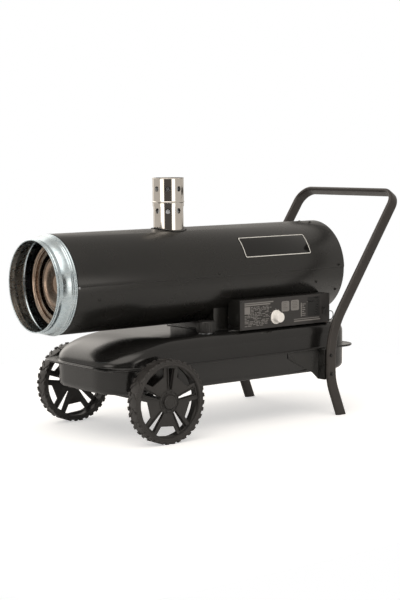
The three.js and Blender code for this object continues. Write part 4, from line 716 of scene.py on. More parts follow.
def body_outline(inset):
    """The wall's outline, drawn in by the inset."""
    front, rear, half = tank_front + inset, tank_rear - inset, tank_half - inset
    return tank_outline(front, rear, half, FRONT_CORNER - inset, REAR_CORNER - inset)


def flange_outline(inset):
    """The flange's outline, drawn in by the inset."""
    inset -= FLANGE_WIDTH
    corner = FLANGE_CORNER - FLANGE_WIDTH - inset
    return tank_outline(tank_front + inset, tank_rear - inset, tank_half - inset, corner, corner)


def top_outline(inset):
    """The outline of the flat top, drawn in by the inset."""
    front, rear = tank_front + FRONT_SLOPE + inset, tank_rear - REAR_SLOPE - inset
    return tank_outline(front, rear, tank_half - SIDE_SLOPE - inset, TOP_FRONT_CORNER, TOP_REAR_CORNER)


def eased(value, low, high):
    """Goes smoothly from 0 to 1 while the value goes from low to high."""
    share = min(max((value - low) / (high - low), 0), 1)
    return share * share * (3 - 2 * share)


def raised(points, height):
    """A flat outline at a height."""
    return [(x, y, height) for x, y in points]


def shoulder(inset, crease):
    """Rings from the wall up to the flat top. The wall ends low at the front and higher along the sides."""
    places = list(zip(body_outline(inset), body_outline(inset - 1), top_outline(inset)))
    rings = []
    for level, turn in enumerate(quarter_turns(SHOULDER_STEPS)):
        inward, rise = 1 - math.cos(turn), math.sin(turn)
        nearness = math.exp(-((level - CREASE_LEVEL) ** 2))
        ring = []
        for (x, y), (px, py), (tx, ty) in places:
            climb = eased(x, tank_front, tank_front + WALL_RUN)
            start = tank_seam + WALL_HEIGHT_FRONT + (WALL_HEIGHT_SIDE - WALL_HEIGHT_FRONT) * climb
            faded = eased(x, tank_front + CREASE_FADE[0], tank_front + CREASE_FADE[1])
            out = CREASE * (1 - faded) * crease * nearness
            ring.append((
                x + (tx - x) * inward + (px - x) * out,
                y + (ty - y) * inward + (py - y) * out,
                start + (tank_top - inset - start) * rise,
            ))
        rings.append(ring)
    return rings


def rounded_bottom(sheet):
    """Rings of the lower edge, from the wall down to the flat bottom, for the outside or the inside."""
    span = BOTTOM_RADIUS - sheet
    rings = []
    for turn in quarter_turns(BOTTOM_STEPS):
        outline = body_outline(sheet + span * (1 - math.cos(turn)))
        rings.append(raised(outline, tank_bottom + sheet + span * (1 - math.sin(turn))))
    return rings


def folded_edge(face, up):
    """Rings from the flange's rolled lip to the fillet at the wall, on its face up (1) or down (-1)."""
    rings = []
    for turn in quarter_turns(LIP_STEPS):
        height = face + up * (FLANGE_ROLL * math.sin(turn) - TANK_SHEET / 2)
        rings.append(raised(flange_outline(FLANGE_ROLL * (1 - math.cos(turn))), height))
    rings.append(raised(flange_outline(2 * FLANGE_ROLL), face))
    for turn in quarter_turns(FILLET_STEPS):
        height = face + up * FILLET * (1 - math.cos(turn))
        rings.append(raised(body_outline(-FILLET * (1 - math.sin(turn))), height))
    return rings


print("tank from", round(tank_front), "to", round(tank_rear), "mm, seam at", round(tank_seam, 1))

# %% Press both halves
flange_top = tank_seam + SEAM_GAP + TANK_SHEET
rings = shoulder(TANK_SHEET, 0)[::-1]
rings += [raised(outline, tank_seam + SEAM_GAP) for outline in (body_outline(TANK_SHEET), flange_outline(0))]
rings += folded_edge(flange_top, 1) + shoulder(0, 1)
upper_half = lay_rings("tank_upper_half_fine", rings)

flange_low = tank_seam - SEAM_GAP - TANK_SHEET
rings = rounded_bottom(0)[::-1] + folded_edge(flange_low, -1)[::-1]
rings += [raised(outline, tank_seam - SEAM_GAP) for outline in (flange_outline(0), body_outline(TANK_SHEET))]
rings += rounded_bottom(TANK_SHEET)
lower_half = lay_rings("tank_lower_half_fine", rings)
print("pressed", len(upper_half.data.polygons), "and", len(lower_half.data.polygons), "faces")

# %% Lay the black ring of painted shade under the flange
# A black rubber ring under the flange is painted shade: it stands for the shadow beneath the lip.
# Its ring is closed: the last outline is the first one again.
FLANGE_SHADE_HEIGHT = 2.4
FLANGE_SHADE_SINK = 0.2
FLANGE_SHADE_WALL = -1
FLANGE_SHADE_OUT = (3.5, 2.5)
flange_shade_foot = flange_low - FLANGE_SHADE_HEIGHT
flange_shade_head = flange_low + FLANGE_SHADE_SINK
flange_shade_wall = body_outline(FLANGE_SHADE_WALL)
flange_shade_rings = [
    raised(flange_shade_wall, flange_shade_foot), raised(flange_outline(FLANGE_SHADE_OUT[0]), flange_shade_foot),
    raised(flange_outline(FLANGE_SHADE_OUT[1]), flange_shade_head), raised(flange_shade_wall, flange_shade_head),
]
flange_shade_rings.append(flange_shade_rings[0])
# The ring is painted shade: black rubber put where the flange only casts a shadow.
hand_over(soft(lay_rings("tank_flange_shade", flange_shade_rings, False)), "chassis", "rubber")

# %% Cut the holes for the filler, the two fittings and the drain
# Each hole stands in the middle of the part that goes through it. The numbers are radii in mm.
HOLE_CLEAR = 0.3
HOLE_REACH = 20
HOLE_SIDES = 48
HOLES = {
    "filler_neck": (20, upper_half),
    "fuel_pickup": (12, upper_half),
    "fuel_return_fitting": (12, upper_half),
    "drain_plug": (8, lower_half),
}
TANK_ANGLE = 32
for node_name, (radius, half) in HOLES.items():
    low, high = in_mm(node_name)
    depth = high.z - low.z + HOLE_REACH
    carve(half, cylinder(HOLE_SIDES, radius + HOLE_CLEAR, depth, (low + high) / 2))
for half, node_name in ((upper_half, "tank_upper_half"), (lower_half, "tank_lower_half")):
    hand_over(soft(half, TANK_ANGLE), "chassis", "tank_paint", node_name)

# %% [markdown]
# ## The outlet collar
# A spigot like this is rolled from a galvanised strip: shaped rollers press its beads and flares.
# So it is one outline spun round the drum's axis. The rolled hem at the lip makes the edge safe and stiff.
# The outline runs from the hem over the beads and the flare to the sleeve that sits inside the drum.

# %% Roll the collar
HEM_RADIUS = 1.8
HEM_CENTRE = 139.3
HEM_STEPS = 8
COLLAR_OUTSIDE = (
    (141.1, 3.6), (140.4, 4.6), (139.5, 5.6), (139.5, 6.4), (140.7, 7.4), (141.6, 8.6), (141.6, 9.6),
    (141.0, 10.8), (140.9, 16.2), (140.4, 17.4), (139.9, 18.6), (140.2, 20.0), (142.0, 21.8), (144.2, 25.2),
    (146.5, 30.0), (148.4, 36.0), (149.8, 41.0), (150.7, 45.6), (151.6, 46.6), (152.1, 47.8), (152.0, 49.0),
    (151.5, 50.0), (152.5, 51.4), (153.4, 53.0), (153.5, 55.2), (152.7, 56.4), (152.7, 57.4), (153.9, 58.2),
    (154.7, 59.4), (154.9, 60.6), (154.5, 61.8), (153.6, 62.5), (151.7, 62.8),
)
COLLAR_INSIDE = (
    (150.2, 66.5), (149.4, 65.4), (148.2, 64.2), (147.6, 62.6), (148.2, 61.0), (149.4, 59.8), (150.2, 58.0),
    (150.2, 54.0), (149.6, 51.2), (148.0, 44.0), (145.2, 34.0), (142.0, 26.0), (139.4, 21.6), (138.2, 18.6),
    (138.6, 15.0), (138.9, 10.4), (138.4, 8.0), (137.8, 6.4), (137.5, 4.2),
)
COLLAR_STEPS = 144
SMOOTH_ANGLE = 50
collar_low, collar_high = in_mm("outlet_collar")
drum_axis = (collar_low.z + collar_high.z) / 2
sleeve_end = collar_high.x - collar_low.x
outline = []
for step in range(HEM_STEPS + 1):
    turn = math.pi * step / HEM_STEPS
    outline.append((HEM_CENTRE - HEM_RADIUS * math.cos(turn), HEM_RADIUS - HEM_RADIUS * math.sin(turn)))
outline += COLLAR_OUTSIDE
outline += [(COLLAR_OUTSIDE[-1][0], sleeve_end), (COLLAR_INSIDE[0][0], sleeve_end)]
outline += COLLAR_INSIDE
collar = turned("outlet_collar_fine", outline, (collar_low.x, 0, drum_axis), "x", COLLAR_STEPS)
hand_over(soft(collar, SMOOTH_ANGLE), "chassis", "galvanised", "outlet_collar")

# %% [markdown]
# ## The flue
# The flue is two lengths of thin stainless pipe. The upper one slips over the lower one and has a bead.
# Round holes let cool air in beside an inner pipe, so each pipe is spun and then drilled straight through.
# An extra point on either side of a bead keeps the long plain wall from being shaded as if it were bent.

# %% Roll and drill the flue pipes
FLUE_RADIUS = 48.2
FLUE_WALL = 1.4
FLUE_STEPS = 96
SLEEVE_RADIUS = 49.9
SLEEVE_BEAD = 1.5
BEAD_HALF = 2.6
BEAD_STEPS = 6
JOINT_BEAD = 14
RIM_CURL = 0.7
CURL_HALF = 1.7
EDGE_LOOP = 0.6
INNER_RADIUS = 43
INNER_WALL = 1
INNER_FLARE = 46.5
FLUE_HOLE = 8.5
FLUE_HOLE_TURN = math.radians(-83)
HOLE_ROWS = {"flue_stub": 689.5, "flue_sleeve": 759.0}
# Each drilling goes straight through, so it makes two holes.
DRILLINGS = 4
DRILL_SIDES = 40
DRILL_LENGTH = 400
flue_low, flue_high = in_mm("flue_stub")
sleeve_low, sleeve_high = in_mm("flue_sleeve")
inner_low, inner_high = in_mm("flue_inner_sleeve")
flue_x = (flue_low.x + flue_high.x) / 2


def bead(height, proud, half):
    """Points of a pressed bead on the sleeve, from low to high, centred on a height."""
    points = []
    for step in range(BEAD_STEPS + 1):
        share = step / BEAD_STEPS
        points.append((SLEEVE_RADIUS + proud * math.sin(math.pi * share), height + half * (2 * share - 1)))
    return points


stub_outline = [
    (FLUE_RADIUS - FLUE_WALL, flue_low.z), (FLUE_RADIUS, flue_low.z),
    (FLUE_RADIUS, flue_high.z), (FLUE_RADIUS - FLUE_WALL, flue_high.z),
]
joint = sleeve_low.z + JOINT_BEAD
sleeve_outline = [(SLEEVE_RADIUS - FLUE_WALL, sleeve_low.z), (SLEEVE_RADIUS, sleeve_low.z)]
sleeve_outline.append((SLEEVE_RADIUS, joint - BEAD_HALF - EDGE_LOOP))
sleeve_outline += bead(joint, SLEEVE_BEAD, BEAD_HALF)
sleeve_outline.append((SLEEVE_RADIUS, joint + BEAD_HALF + EDGE_LOOP))
sleeve_outline.append((SLEEVE_RADIUS, sleeve_high.z - 2 * CURL_HALF - EDGE_LOOP))
sleeve_outline += bead(sleeve_high.z - CURL_HALF, RIM_CURL, CURL_HALF)
sleeve_outline.append((SLEEVE_RADIUS - FLUE_WALL, sleeve_high.z))
inner_outline = (
    (INNER_RADIUS - INNER_WALL, inner_low.z), (INNER_FLARE, inner_low.z), (INNER_FLARE, inner_low.z + 3.2),
    (INNER_RADIUS, inner_low.z + 7), (INNER_RADIUS, inner_high.z), (INNER_RADIUS - INNER_WALL, inner_high.z),
)
for node_name, outline, slot_name in (
    ("flue_stub", stub_outline, "stainless"),
    ("flue_sleeve", sleeve_outline, "stainless"),
    ("flue_inner_sleeve", inner_outline, "steel"),
):
    pipe = turned(node_name + "_fine", outline, (flue_x, 0, 0), "z", FLUE_STEPS)
    if node_name in HOLE_ROWS:
        for count in range(DRILLINGS):
            turn = FLUE_HOLE_TURN + math.pi / DRILLINGS * count
            direction = Vector((math.cos(turn), math.sin(turn), 0))
            row = (flue_x, 0, HOLE_ROWS[node_name])
            carve(pipe, cylinder(DRILL_SIDES, FLUE_HOLE, DRILL_LENGTH, row, direction))
    hand_over(soft(pipe, SMOOTH_ANGLE), "chassis", slot_name, node_name)

# %% [markdown]
# ## The handle
# One flat oval tube is bent six times: two bends in each leg and the two corners of the grip.
# A pipe bender draws the tube round a former, so every bend is a true arc between straight runs.
# The section is laid at short steps along that path, and the feet are cut flat where they stand.

# %% A helper that follows a bent path
def bent_path(corners, step):
    """Places and directions along straight runs joined by arcs. A corner is a point and its bend radius."""
    first, last = corners[0][0], corners[-1][0]
    stops = [(first, (corners[1][0] - first).normalized())]
    for before, (corner, bend), after in zip(corners, corners[1:], corners[2:]):
        arriving = (corner - before[0]).normalized()
        leaving = (after[0] - corner).normalized()
        turn = arriving.angle(leaving)
        start = corner - arriving * bend * math.tan(turn / 2)
        hinge = arriving.cross(leaving).normalized()
        centre = start + hinge.cross(arriving) * bend
        steps = max(2, math.ceil(turn / step))
        for count in range(steps + 1):
            swing = Matrix.Rotation(turn * count / steps, 3, hinge)
            stops.append((centre + swing @ (start - centre), swing @ arriving))
    stops.append((last, (last - corners[-2][0]).normalized()))
    return stops


# %% Bend the handle
TUBE_THICKNESS = 15
TUBE_DEPTH = 39
TUBE_END_STEPS = 12
LEG_X = 335.13
FOOT_KICK = 44.4
FOOT_TILT = math.radians(20.6)
KNEE_HEIGHT = 279.2
GRIP_BACK = 304.6
GRIP_HEIGHT = 729
FOOT_BEND = 190
KNEE_BEND = 274
GRIP_BEND = 52
BEND_STEP = math.radians(3)
LEAST_SIDE = 0.2
leg_side = in_mm("handle_tube")[1].y - TUBE_THICKNESS / 2
half_path = [
    (Vector((LEG_X + FOOT_KICK, -leg_side, 0)), 0),
    (Vector((LEG_X, -leg_side, FOOT_KICK / math.tan(FOOT_TILT))), FOOT_BEND),
    (Vector((LEG_X, -leg_side, KNEE_HEIGHT)), KNEE_BEND),
    (Vector((LEG_X + GRIP_BACK, -leg_side, GRIP_HEIGHT)), GRIP_BEND),
]
other_half = [(Vector((point.x, -point.y, point.z)), bend) for point, bend in half_path[::-1]]
stops = bent_path(half_path + other_half, BEND_STEP)
radius = TUBE_THICKNESS / 2
section = []
for side, offset in ((0, 1), (1, -1)):
    for step in range(TUBE_END_STEPS + 1):
        turn = math.pi * (side + step / TUBE_END_STEPS)
        along = radius * math.sin(turn) + offset * (TUBE_DEPTH / 2 - radius)
        section.append((radius * math.cos(turn), along))
# Along the grip the tube runs square to the plane of the bends, so the depth keeps its last direction there.
rings = []
deep = Vector((1, 0, 0))
for place, direction in stops:
    in_plane = Vector((direction.z, 0, -direction.x))
    if in_plane.length > LEAST_SIDE:
        in_plane.normalize()
        deep = in_plane if in_plane.dot(deep) > 0 else -in_plane
    wide = direction.cross(deep)
    rings.append([place + wide * across + deep * along for across, along in section])
for index in (0, -1):
    direction = stops[index][1]
    rings[index] = [point - direction * (point.z / direction.z) for point in rings[index]]
handle = lay_rings("handle_tube_fine", rings)
hand_over(soft(handle, SHADE_ANGLE), "chassis", "tube_paint", "handle_tube")

# %% [markdown]
# ## The wheels
# The tyre is a spun carcass. Across its tread stand V shaped bars, with a small block on either side between
# them. The mould repeats that segment all round, so one is made and then turned about the axle.

# %% Spin the tyre and set its bars
RIM_SEAT = 113.8
BEAD_RADIUS = 110
WALL_RADIUS = 125.8
TYRE_STEPS = 136
BAR_COUNT = 18
BAR_LEAD = 20
BAR_WIDTH = 12
BAR_ROOT = 121.5
BAR_BELOW = 0.5
BAR_INSET = 0.3
BAR_EDGE = 0.9
BLOCK_LENGTH = 9
lead, width = BAR_LEAD / 2, BAR_WIDTH / 2
tyre_low, tyre_high = in_mm("tyre_near")
wheel_centre = (tyre_low + tyre_high) / 2
tread_radius = (tyre_high.z - tyre_low.z) / 2
tyre_half = (tyre_high.y - tyre_low.y) / 2
edge = tyre_half - BAR_INSET
carcass_outline = [
    (RIM_SEAT, -17), (RIM_SEAT, -19.4), (BEAD_RADIUS + 0.6, -19.5), (BEAD_RADIUS, -20),
    (BEAD_RADIUS + 0.5, -20.6), (114, -20.8), (116.6, -20.6), (117.4, -20), (118.2, -20.6), (121, -20.8),
    (123, -20.4), (WALL_RADIUS - 0.4, -18.8), (WALL_RADIUS, -16), (WALL_RADIUS + 0.7, -8),
    (WALL_RADIUS + 0.9, 0),
]
carcass_outline += [(radius, -along) for radius, along in carcass_outline[-2::-1]]
carcass = soft(turned("tyre", carcass_outline, wheel_centre, "y", TYRE_STEPS), SMOOTH_ANGLE)
BAR_OUTLINE = (
    (lead + width, 0), (width - lead, edge), (-width - lead, edge),
    (lead - width, 0), (-width - lead, -edge), (width - lead, -edge),
)
BLOCK_OUTLINE = ((width, edge), (-width, edge), (-width, edge - BLOCK_LENGTH), (width, edge - BLOCK_LENGTH))


def tread_block(outline, side, shift):
    """A block that stands on the tread above the axle, from its outline along and across the tread."""
    points = [wheel_centre + Vector((along + shift, across * side, BAR_ROOT)) for along, across in outline]
    block = plate("block", points, (0, 0, tread_radius - BAR_ROOT - BAR_BELOW))
    return rounded(block, BAR_EDGE, angle=SMOOTH_ANGLE)


half_pitch = math.pi * tread_radius / BAR_COUNT
segment = [tread_block(BAR_OUTLINE, 1, 0)]
segment += [tread_block(BLOCK_OUTLINE, side, half_pitch - lead) for side in (1, -1)]
bars = [joined("bar", segment)]
for count in range(1, BAR_COUNT):
    bars.append(copied(bars[0], "bar", turned_about(wheel_centre, "Y", FULL_TURN * count / BAR_COUNT)))
tyre = joined("tyre_near_fine", [carcass] + bars)
print("tyre", len(tyre.data.polygons), "faces")

# %% [markdown]
# ## The wheel's rim
# The moulded rim has five long slits with a rib on either side, and wide panels between them.
# The slits of the working model are drawn out to the tyre by moving the vertices between two radii.
# Ribs and a ring of small pockets round the hub keep the plastic stiff and let it cool evenly in the mould.

# %% Mould the rim with its ribs
RIM_EDGE_OUT = 109.7
RIM_EDGE_IN = 107.5
# Radii in the working model, and where they are moved to.
REACHES = ((90, 90), (95, 101.5), (103.4, 107.3), (113.4, 113.4))
SPOKES = 5
SLIT_LEAN = math.radians(5)
SLIT_SPAN = (38, 101.5)
RIB_WIDTH = 2.6
RIB_RISE = 4.4
RIB_SPREAD = (6.2, 13.5)
RIB_EDGE = 0.8
ROOT = 1
RIM_STEPS = 120
RING_STEPS = 72
CUTTER_REACH = 9
WEB_BACK = 8.95
POCKET_DEPTH = 3
POCKET_COUNT = 10
WEB_RADIUS = 30
WEB_SIZE = (1.4, 3, 8.6)
WEB_RISE = 0.2
web_face = wheel_centre.y - tyre_half + WEB_BACK
web = web_face - wheel_centre.y
rim = fine_copy("wheel_rim_near", RIB_EDGE)
for vertex in rim.data.vertices:
    across, up = vertex.co.x / MM - wheel_centre.x, vertex.co.z / MM - wheel_centre.z
    radius = math.hypot(across, up)
    for (start, new_start), (end, new_end) in zip(REACHES, REACHES[1:]):
        if start < radius <= end:
            new_radius = new_start + (radius - start) / (end - start) * (new_end - new_start)
            vertex.co.x = (wheel_centre.x + across * new_radius / radius) * MM
            vertex.co.z = (wheel_centre.z + up * new_radius / radius) * MM


def on_web(points, face):
    """Points across and up from the axle, at a place along it."""
    return [(wheel_centre.x + across, face, wheel_centre.z + up) for across, up in points]


spokes = [turned_about(wheel_centre, "Y", SLIT_LEAN + FULL_TURN * count / SPOKES) for count in range(SPOKES)]
(foot, tip), (foot_spread, tip_spread) = SLIT_SPAN, RIB_SPREAD
wedge = ((-foot_spread, foot), (-tip_spread, tip), (tip_spread, tip), (foot_spread, foot))
for spoke in spokes:
    cutter = plate("pocket", on_web(wedge, web_face - CUTTER_REACH), (0, CUTTER_REACH + POCKET_DEPTH, 0))
    cutter.data.transform(spoke)
    carve(rim, cutter)
ribs = []
for side in (-1, 1):
    near, far = side * foot_spread, side * tip_spread
    half = RIB_WIDTH / 2
    outline = ((near - half, foot), (far - half, tip), (far + half, tip), (near + half, foot))
    rib = plate("rib", on_web(outline, web_face + ROOT), (0, -ROOT - RIB_RISE, 0))
    ribs.append(rounded(rib, RIB_EDGE))
rib_pair = joined("ribs", ribs)
lip_outline = (
    (RIM_EDGE_IN, -tyre_half + 5), (RIM_EDGE_IN, -tyre_half + 3.4), (RIM_EDGE_IN + 0.8, -tyre_half + 2.4),
    (RIM_EDGE_OUT - 0.8, -tyre_half + 2.2), (RIM_EDGE_OUT, -tyre_half + 3), (RIM_EDGE_OUT, -tyre_half + 5),
)
rim_parts = [rim, turned("rim_lip", lip_outline, wheel_centre, "y", RIM_STEPS)]
# The raised rings round the hub and inside the panels: four radii, from foot to foot, and the height.
RAISED_RINGS = {"hub_ring": (24.5, 24.5, 26.3, 26.3, 2.2), "panel_ring": (33.6, 33.9, 35.4, 35.7, 1.6)}
for name, (foot_in, head_in, head_out, foot_out, height) in RAISED_RINGS.items():
    foot, head = web + ROOT, web - height
    outline = ((foot_in, foot), (head_in, head), (head_out, head), (foot_out, foot))
    rim_parts.append(turned(name, outline, wheel_centre, "y", RING_STEPS))
rim_parts += [copied(rib_pair, "ribs", spoke) for spoke in spokes]
bpy.data.objects.remove(rib_pair)
for count in range(POCKET_COUNT):
    deselect()
    bpy.ops.mesh.primitive_cube_add(size=1, location=(wheel_centre + Vector((0, 0, WEB_RADIUS))) * MM)
    wall = bpy.context.object
    bpy.ops.transform.resize(value=Vector(WEB_SIZE) * MM)
    bpy.ops.object.transform_apply(location=True, rotation=True, scale=True)
    wall.data.transform(Matrix.Translation(Vector((0, web - WEB_RISE, 0)) * MM))
    wall.data.transform(turned_about(wheel_centre, "Y", FULL_TURN * (count + 0.5) / POCKET_COUNT))
    rim_parts.append(wall)
rim = soft(joined("wheel_rim_near_fine", rim_parts), SHADE_ANGLE)
print("rim", len(rim.data.polygons), "faces")

# %% The hub cap, and the far wheel as a copy
# The far wheel is the near one turned half round about the upright line through the middle of the axle.
HUB_STEPS = 64
HEAD_ANGLE = 30
cap_low, cap_high = in_mm("hub_cap_near")
back = cap_high.y - wheel_centre.y
face = cap_low.y - wheel_centre.y
hub_outline = (
    (0, back), (21, back), (21, face + 1.6), (20.4, face + 0.6), (19, face + 0.1), (15.5, face + 0.1),
    (14.6, face + 0.9), (13.8, face + 0.9), (12.8, face + 0.2), (0, face),
)
hub_cap = soft(turned("hub_cap_near_fine", hub_outline, wheel_centre, "y", HUB_STEPS), HEAD_ANGLE)
for piece, part, slot_name in (
    (tyre, "tyre", "tyre"), (rim, "wheel_rim", "wheel_plastic"), (hub_cap, "hub_cap", "wheel_plastic")
):
    other_side = turned_about((wheel_centre.x, 0, wheel_centre.z), "Z", math.pi)
    far_piece = copied(piece, part + "_far_fine", other_side)
    hand_over(piece, "near_wheel", slot_name, part + "_near")
    hand_over(far_piece, "far_wheel", slot_name, part + "_far")

# %% [markdown]
# ## The hot end, seen through the outlet
# Air leaves through a gap round the exchanger. Its front edge and the chamber's are pressed rings:
# a rolled bead keeps thin stainless from warping when it glows. Both outlines are spun round the drum's axis.

# %% Press the two front rings
EXCHANGER_RING = (
    (112, 5), (112, -3), (113.2, -5.2), (115, -5.8), (116.6, -4.6), (118.2, -3.2), (121, -3.2), (123, -4.6),
    (125, -6.4), (127, -6.4), (128.6, -4.6), (128.8, -2), (128.8, 7), (125.4, 8), (125.4, 5),
)
CHAMBER_RING = (
    (0, 2), (0, -2.4), (30, -2.6), (31.5, -3.6), (34.5, -3.6), (36, -2.8), (62, -3.2), (70, -4), (73, -5),
    (75, -7.5), (77.5, -9.2), (80.5, -9.6), (83, -8.2), (84.6, -6), (86.6, -5.6), (89, -6.4), (91, -5),
    (91.6, -3), (91.2, 3), (83.2, 4), (83.2, 2),
)
for name, outline, node_name in (
    ("exchanger_ring", EXCHANGER_RING, "heat_exchanger"), ("chamber_ring", CHAMBER_RING, "combustion_chamber")
):
    front = in_mm(node_name)[0].x
    ring = soft(turned(name, outline, (front, 0, drum_axis), "x", RIM_STEPS), SMOOTH_ANGLE)
    hand_over(ring, "chassis", "heat_steel")

# %% [markdown]
# ## The plate on the drum
# A thin gloss plate follows the drum's curve, with a light line printed round it. The rest stays bare.
# The line is made flat, as a filled outline whose middle is cut out, and is then laid on the curve.

# %% Print the line on the plate
PLATE_RADIUS = 156.6
LINE_PROUD = 0.12
LINE_WIDTH = 2.6
LINE_INSET = 0.8
LINE_CORNER = 6
ARC_STEPS = 12
plate_low, plate_high = in_mm("badge_plate")


def rounded_rectangle(low, high, corner, side_steps=1, corner_steps=5):
    """Points (across, up) round a rectangle with round corners, with extra points on its upright sides."""
    points = []
    for across, up, start in (
        (high[0] - corner, high[1] - corner, 0), (low[0] + corner, high[1] - corner, 90),
        (low[0] + corner, low[1] + corner, 180), (high[0] - corner, low[1] + corner, 270),
    ):
        for step in range(corner_steps + 1):
            turn = math.radians(start + 90 * step / corner_steps)
            points.append((across + corner * math.cos(turn), up + corner * math.sin(turn)))
        if start in (90, 270):
            begin, span = points[-1], (high[1] - low[1] - 2 * corner) * (-1 if start == 90 else 1)
            points += [(begin[0], begin[1] + span * step / side_steps) for step in range(1, side_steps)]
    return points


arc_low, arc_high = [
    PLATE_RADIUS * math.asin((height - drum_axis) / PLATE_RADIUS) for height in (plate_low.z, plate_high.z)
]
border = rounded_rectangle(
    (plate_low.x + LINE_INSET, arc_low + LINE_INSET), (plate_high.x - LINE_INSET, arc_high - LINE_INSET),
    LINE_CORNER, ARC_STEPS,
)
line = laid_loop("plate_line", [Vector((across, up, 0)) * MM for across, up in border])
bpy.ops.mesh.edge_face_add()
bpy.ops.mesh.inset(thickness=LINE_WIDTH * MM)
bpy.ops.mesh.delete(type="FACE")
bpy.ops.object.mode_set(mode="OBJECT")
reach = (PLATE_RADIUS + LINE_PROUD) * MM
for vertex in line.data.vertices:
    turn = vertex.co.y / (PLATE_RADIUS * MM)
    vertex.co = (vertex.co.x, -reach * math.cos(turn), drum_axis * MM + reach * math.sin(turn))
only(line)
skin = line.modifiers.new("thickness", "SOLIDIFY")
skin.thickness = 2 * LINE_PROUD * MM
skin.offset = 0
bpy.ops.object.modifier_apply(modifier=skin.name)
bpy.ops.object.mode_set(mode="EDIT")
hand_over(closed_up(line), "chassis", "white_ink")
rounded_copies({"badge_plate": 0.4})

# %% [markdown]
# ## The fascia
# The control panel is a printed film on a sheet. Its print is built as thin plates of ink, a tenth of a
# millimetre high, so that it keeps its place from every side. It is only bars and fields, and says nothing.

# %% Print the fascia
INK = 0.12
INK_SINK = 0.02
INK_CORNER = 0.3
# A corner takes a little less than half of the plate's shorter side.
CORNER_LIMIT = 2.01
TABLE_LOW, TABLE_HIGH = (11, 315), (131, 394)
TABLE_END = 123
KNOB_GUARD = (112, 370)
FIELD_GUARD = (37, 357)
ROW_PITCH = 4.6
MARK_HEIGHT = 2.1
MARK_LENGTHS = (4, 17)
MARK_GAPS = (1.6, 5)
MARK_SHARE = 0.8
LEAST_ROOM = 6
panel_low, panel_high = in_mm("control_fascia")
ink_face = panel_low.y + INK_SINK
dice = random.Random(7)
ink_plates = {"grey_ink": [], "black_ink": [], "white_ink": []}


def ink(slot_name, low, high, corner=INK_CORNER, corner_steps=3):
    """A thin plate of ink on the fascia between two corners (along, up) in mm."""
    corner = min(corner, (high[0] - low[0]) / CORNER_LIMIT, (high[1] - low[1]) / CORNER_LIMIT)
    outline = rounded_rectangle(low, high, corner, 1, corner_steps)
    piece = plate(slot_name, [(along, ink_face, up) for along, up in outline], (0, -INK, 0))
    ink_plates[slot_name].append(piece)


# The printed table on the left: two bars and a field above, then rows of marks of uneven length. The marks
# keep clear of the knob and of the field.
rows = int((TABLE_HIGH[1] - TABLE_LOW[1]) / ROW_PITCH)
ink("grey_ink", (TABLE_LOW[0], 390.5), (TABLE_HIGH[0], 394), 0.4)
ink("grey_ink", (TABLE_LOW[0], 384.2), (118, 388.4), 0.4)
ink("grey_ink", (TABLE_LOW[0], 358), (34, 381.5), 0.8)
for row in range(3, rows):
    up = TABLE_HIGH[1] - row * ROW_PITCH - MARK_HEIGHT
    along = FIELD_GUARD[0] if up > FIELD_GUARD[1] else TABLE_LOW[0]
    end = KNOB_GUARD[0] if up < KNOB_GUARD[1] else TABLE_END
    while along < end - LEAST_ROOM:
        length = dice.uniform(*MARK_LENGTHS)
        if dice.random() < MARK_SHARE:
            ink("grey_ink", (along, up), (min(along + length, end), up + MARK_HEIGHT), INK_CORNER, 1)
        along += length + dice.uniform(*MARK_GAPS)
# The two light fields in the middle, each with five dark strokes.
for low, high in (((166, 356), (199, 389.5)), ((206, 356.5), (241, 390.5))):
    ink("grey_ink", low, high, 5.5, 5)
    for step in range(5):
        up = high[1] - 6 - step * 5
        ink("black_ink", (low[0] + 5, up), (high[0] - 5 - dice.uniform(0, 9), up + 0.9), INK_CORNER, 1)
# The upright bar with its strokes, the dark field of the switch and the two long bars below.
ink("grey_ink", (249, 334), (253, 379), 0.5)
for step in range(7):
    up = 336 + step * 6.2
    ink("grey_ink", (254.5, up), (dice.uniform(262, 271), up + 2.4), INK_CORNER, 1)
ink("black_ink", (279, 332), (331, 396), 1)
ink("grey_ink", (276, 380), (308, 381.6))
ink("grey_ink", (308, 392), (326, 393.6))
for step in range(6):
    ink("grey_ink", (311 + step * 2.4, 340 + step * 8), (317 + step * 2.4, 341.6 + step * 8), INK_CORNER, 1)
ink("grey_ink", (219, 318.5), (334, 322), 0.5)
ink("grey_ink", (219, 325.5), (330, 327.6), 0.5)
for slot_name, pieces in ink_plates.items():
    if pieces:
        hand_over(joined("fascia_" + slot_name, pieces), "chassis", slot_name)

# %% Print the scale round the knob
# The strokes grow wider with the heat that they stand for.
DIAL_MARKS = 11
DIAL_SWEEP = math.radians(270)
DIAL_RADIUS = (24.2, 27)
MARK_HALF = 0.3
MARK_GROWTH = 0.25
knob_low, knob_high = in_mm("thermostat_knob")
centre = Vector(((knob_low.x + knob_high.x) / 2, ink_face, (knob_low.z + knob_high.z) / 2))
marks = []
for count in range(DIAL_MARKS):
    turn = DIAL_SWEEP * (count / (DIAL_MARKS - 1) - 0.5)
    outward = Vector((math.sin(turn), 0, math.cos(turn)))
    beside = Vector((math.cos(turn), 0, -math.sin(turn))) * (MARK_HALF + MARK_GROWTH * count / DIAL_MARKS)
    inner, outer = [centre + outward * radius for radius in DIAL_RADIUS]
    outline = (inner - beside, outer - beside, outer + beside, inner + beside)
    marks.append(plate("dial_mark", outline, (0, -INK, 0)))
hand_over(joined("dial_marks", marks), "chassis", "white_ink")

# %% Round the moulded and pressed parts of the controls
control_widths = {
    "control_fascia": 0.4,
    "thermostat_knob": 1.2,
    "power_switch": 0.5,
    "switch_housing": 0.4,
    "cord_gland": 0.7,
    "thermostat_bulb": 0.8,
    "bulb_clip": 0.3,
    "thermostat_body": 0.6,
    "ignition_transformer": 1.5,
}
rounded_copies(control_widths, 3)

# %% [markdown]
# ## Screws and bolts
# Each kind of fastener is made once, standing on the origin and pointing up, and then copied to its places.
# A screw's head is an outline spun round its axis, with a cross cut into it. A bolt's head has six sides.

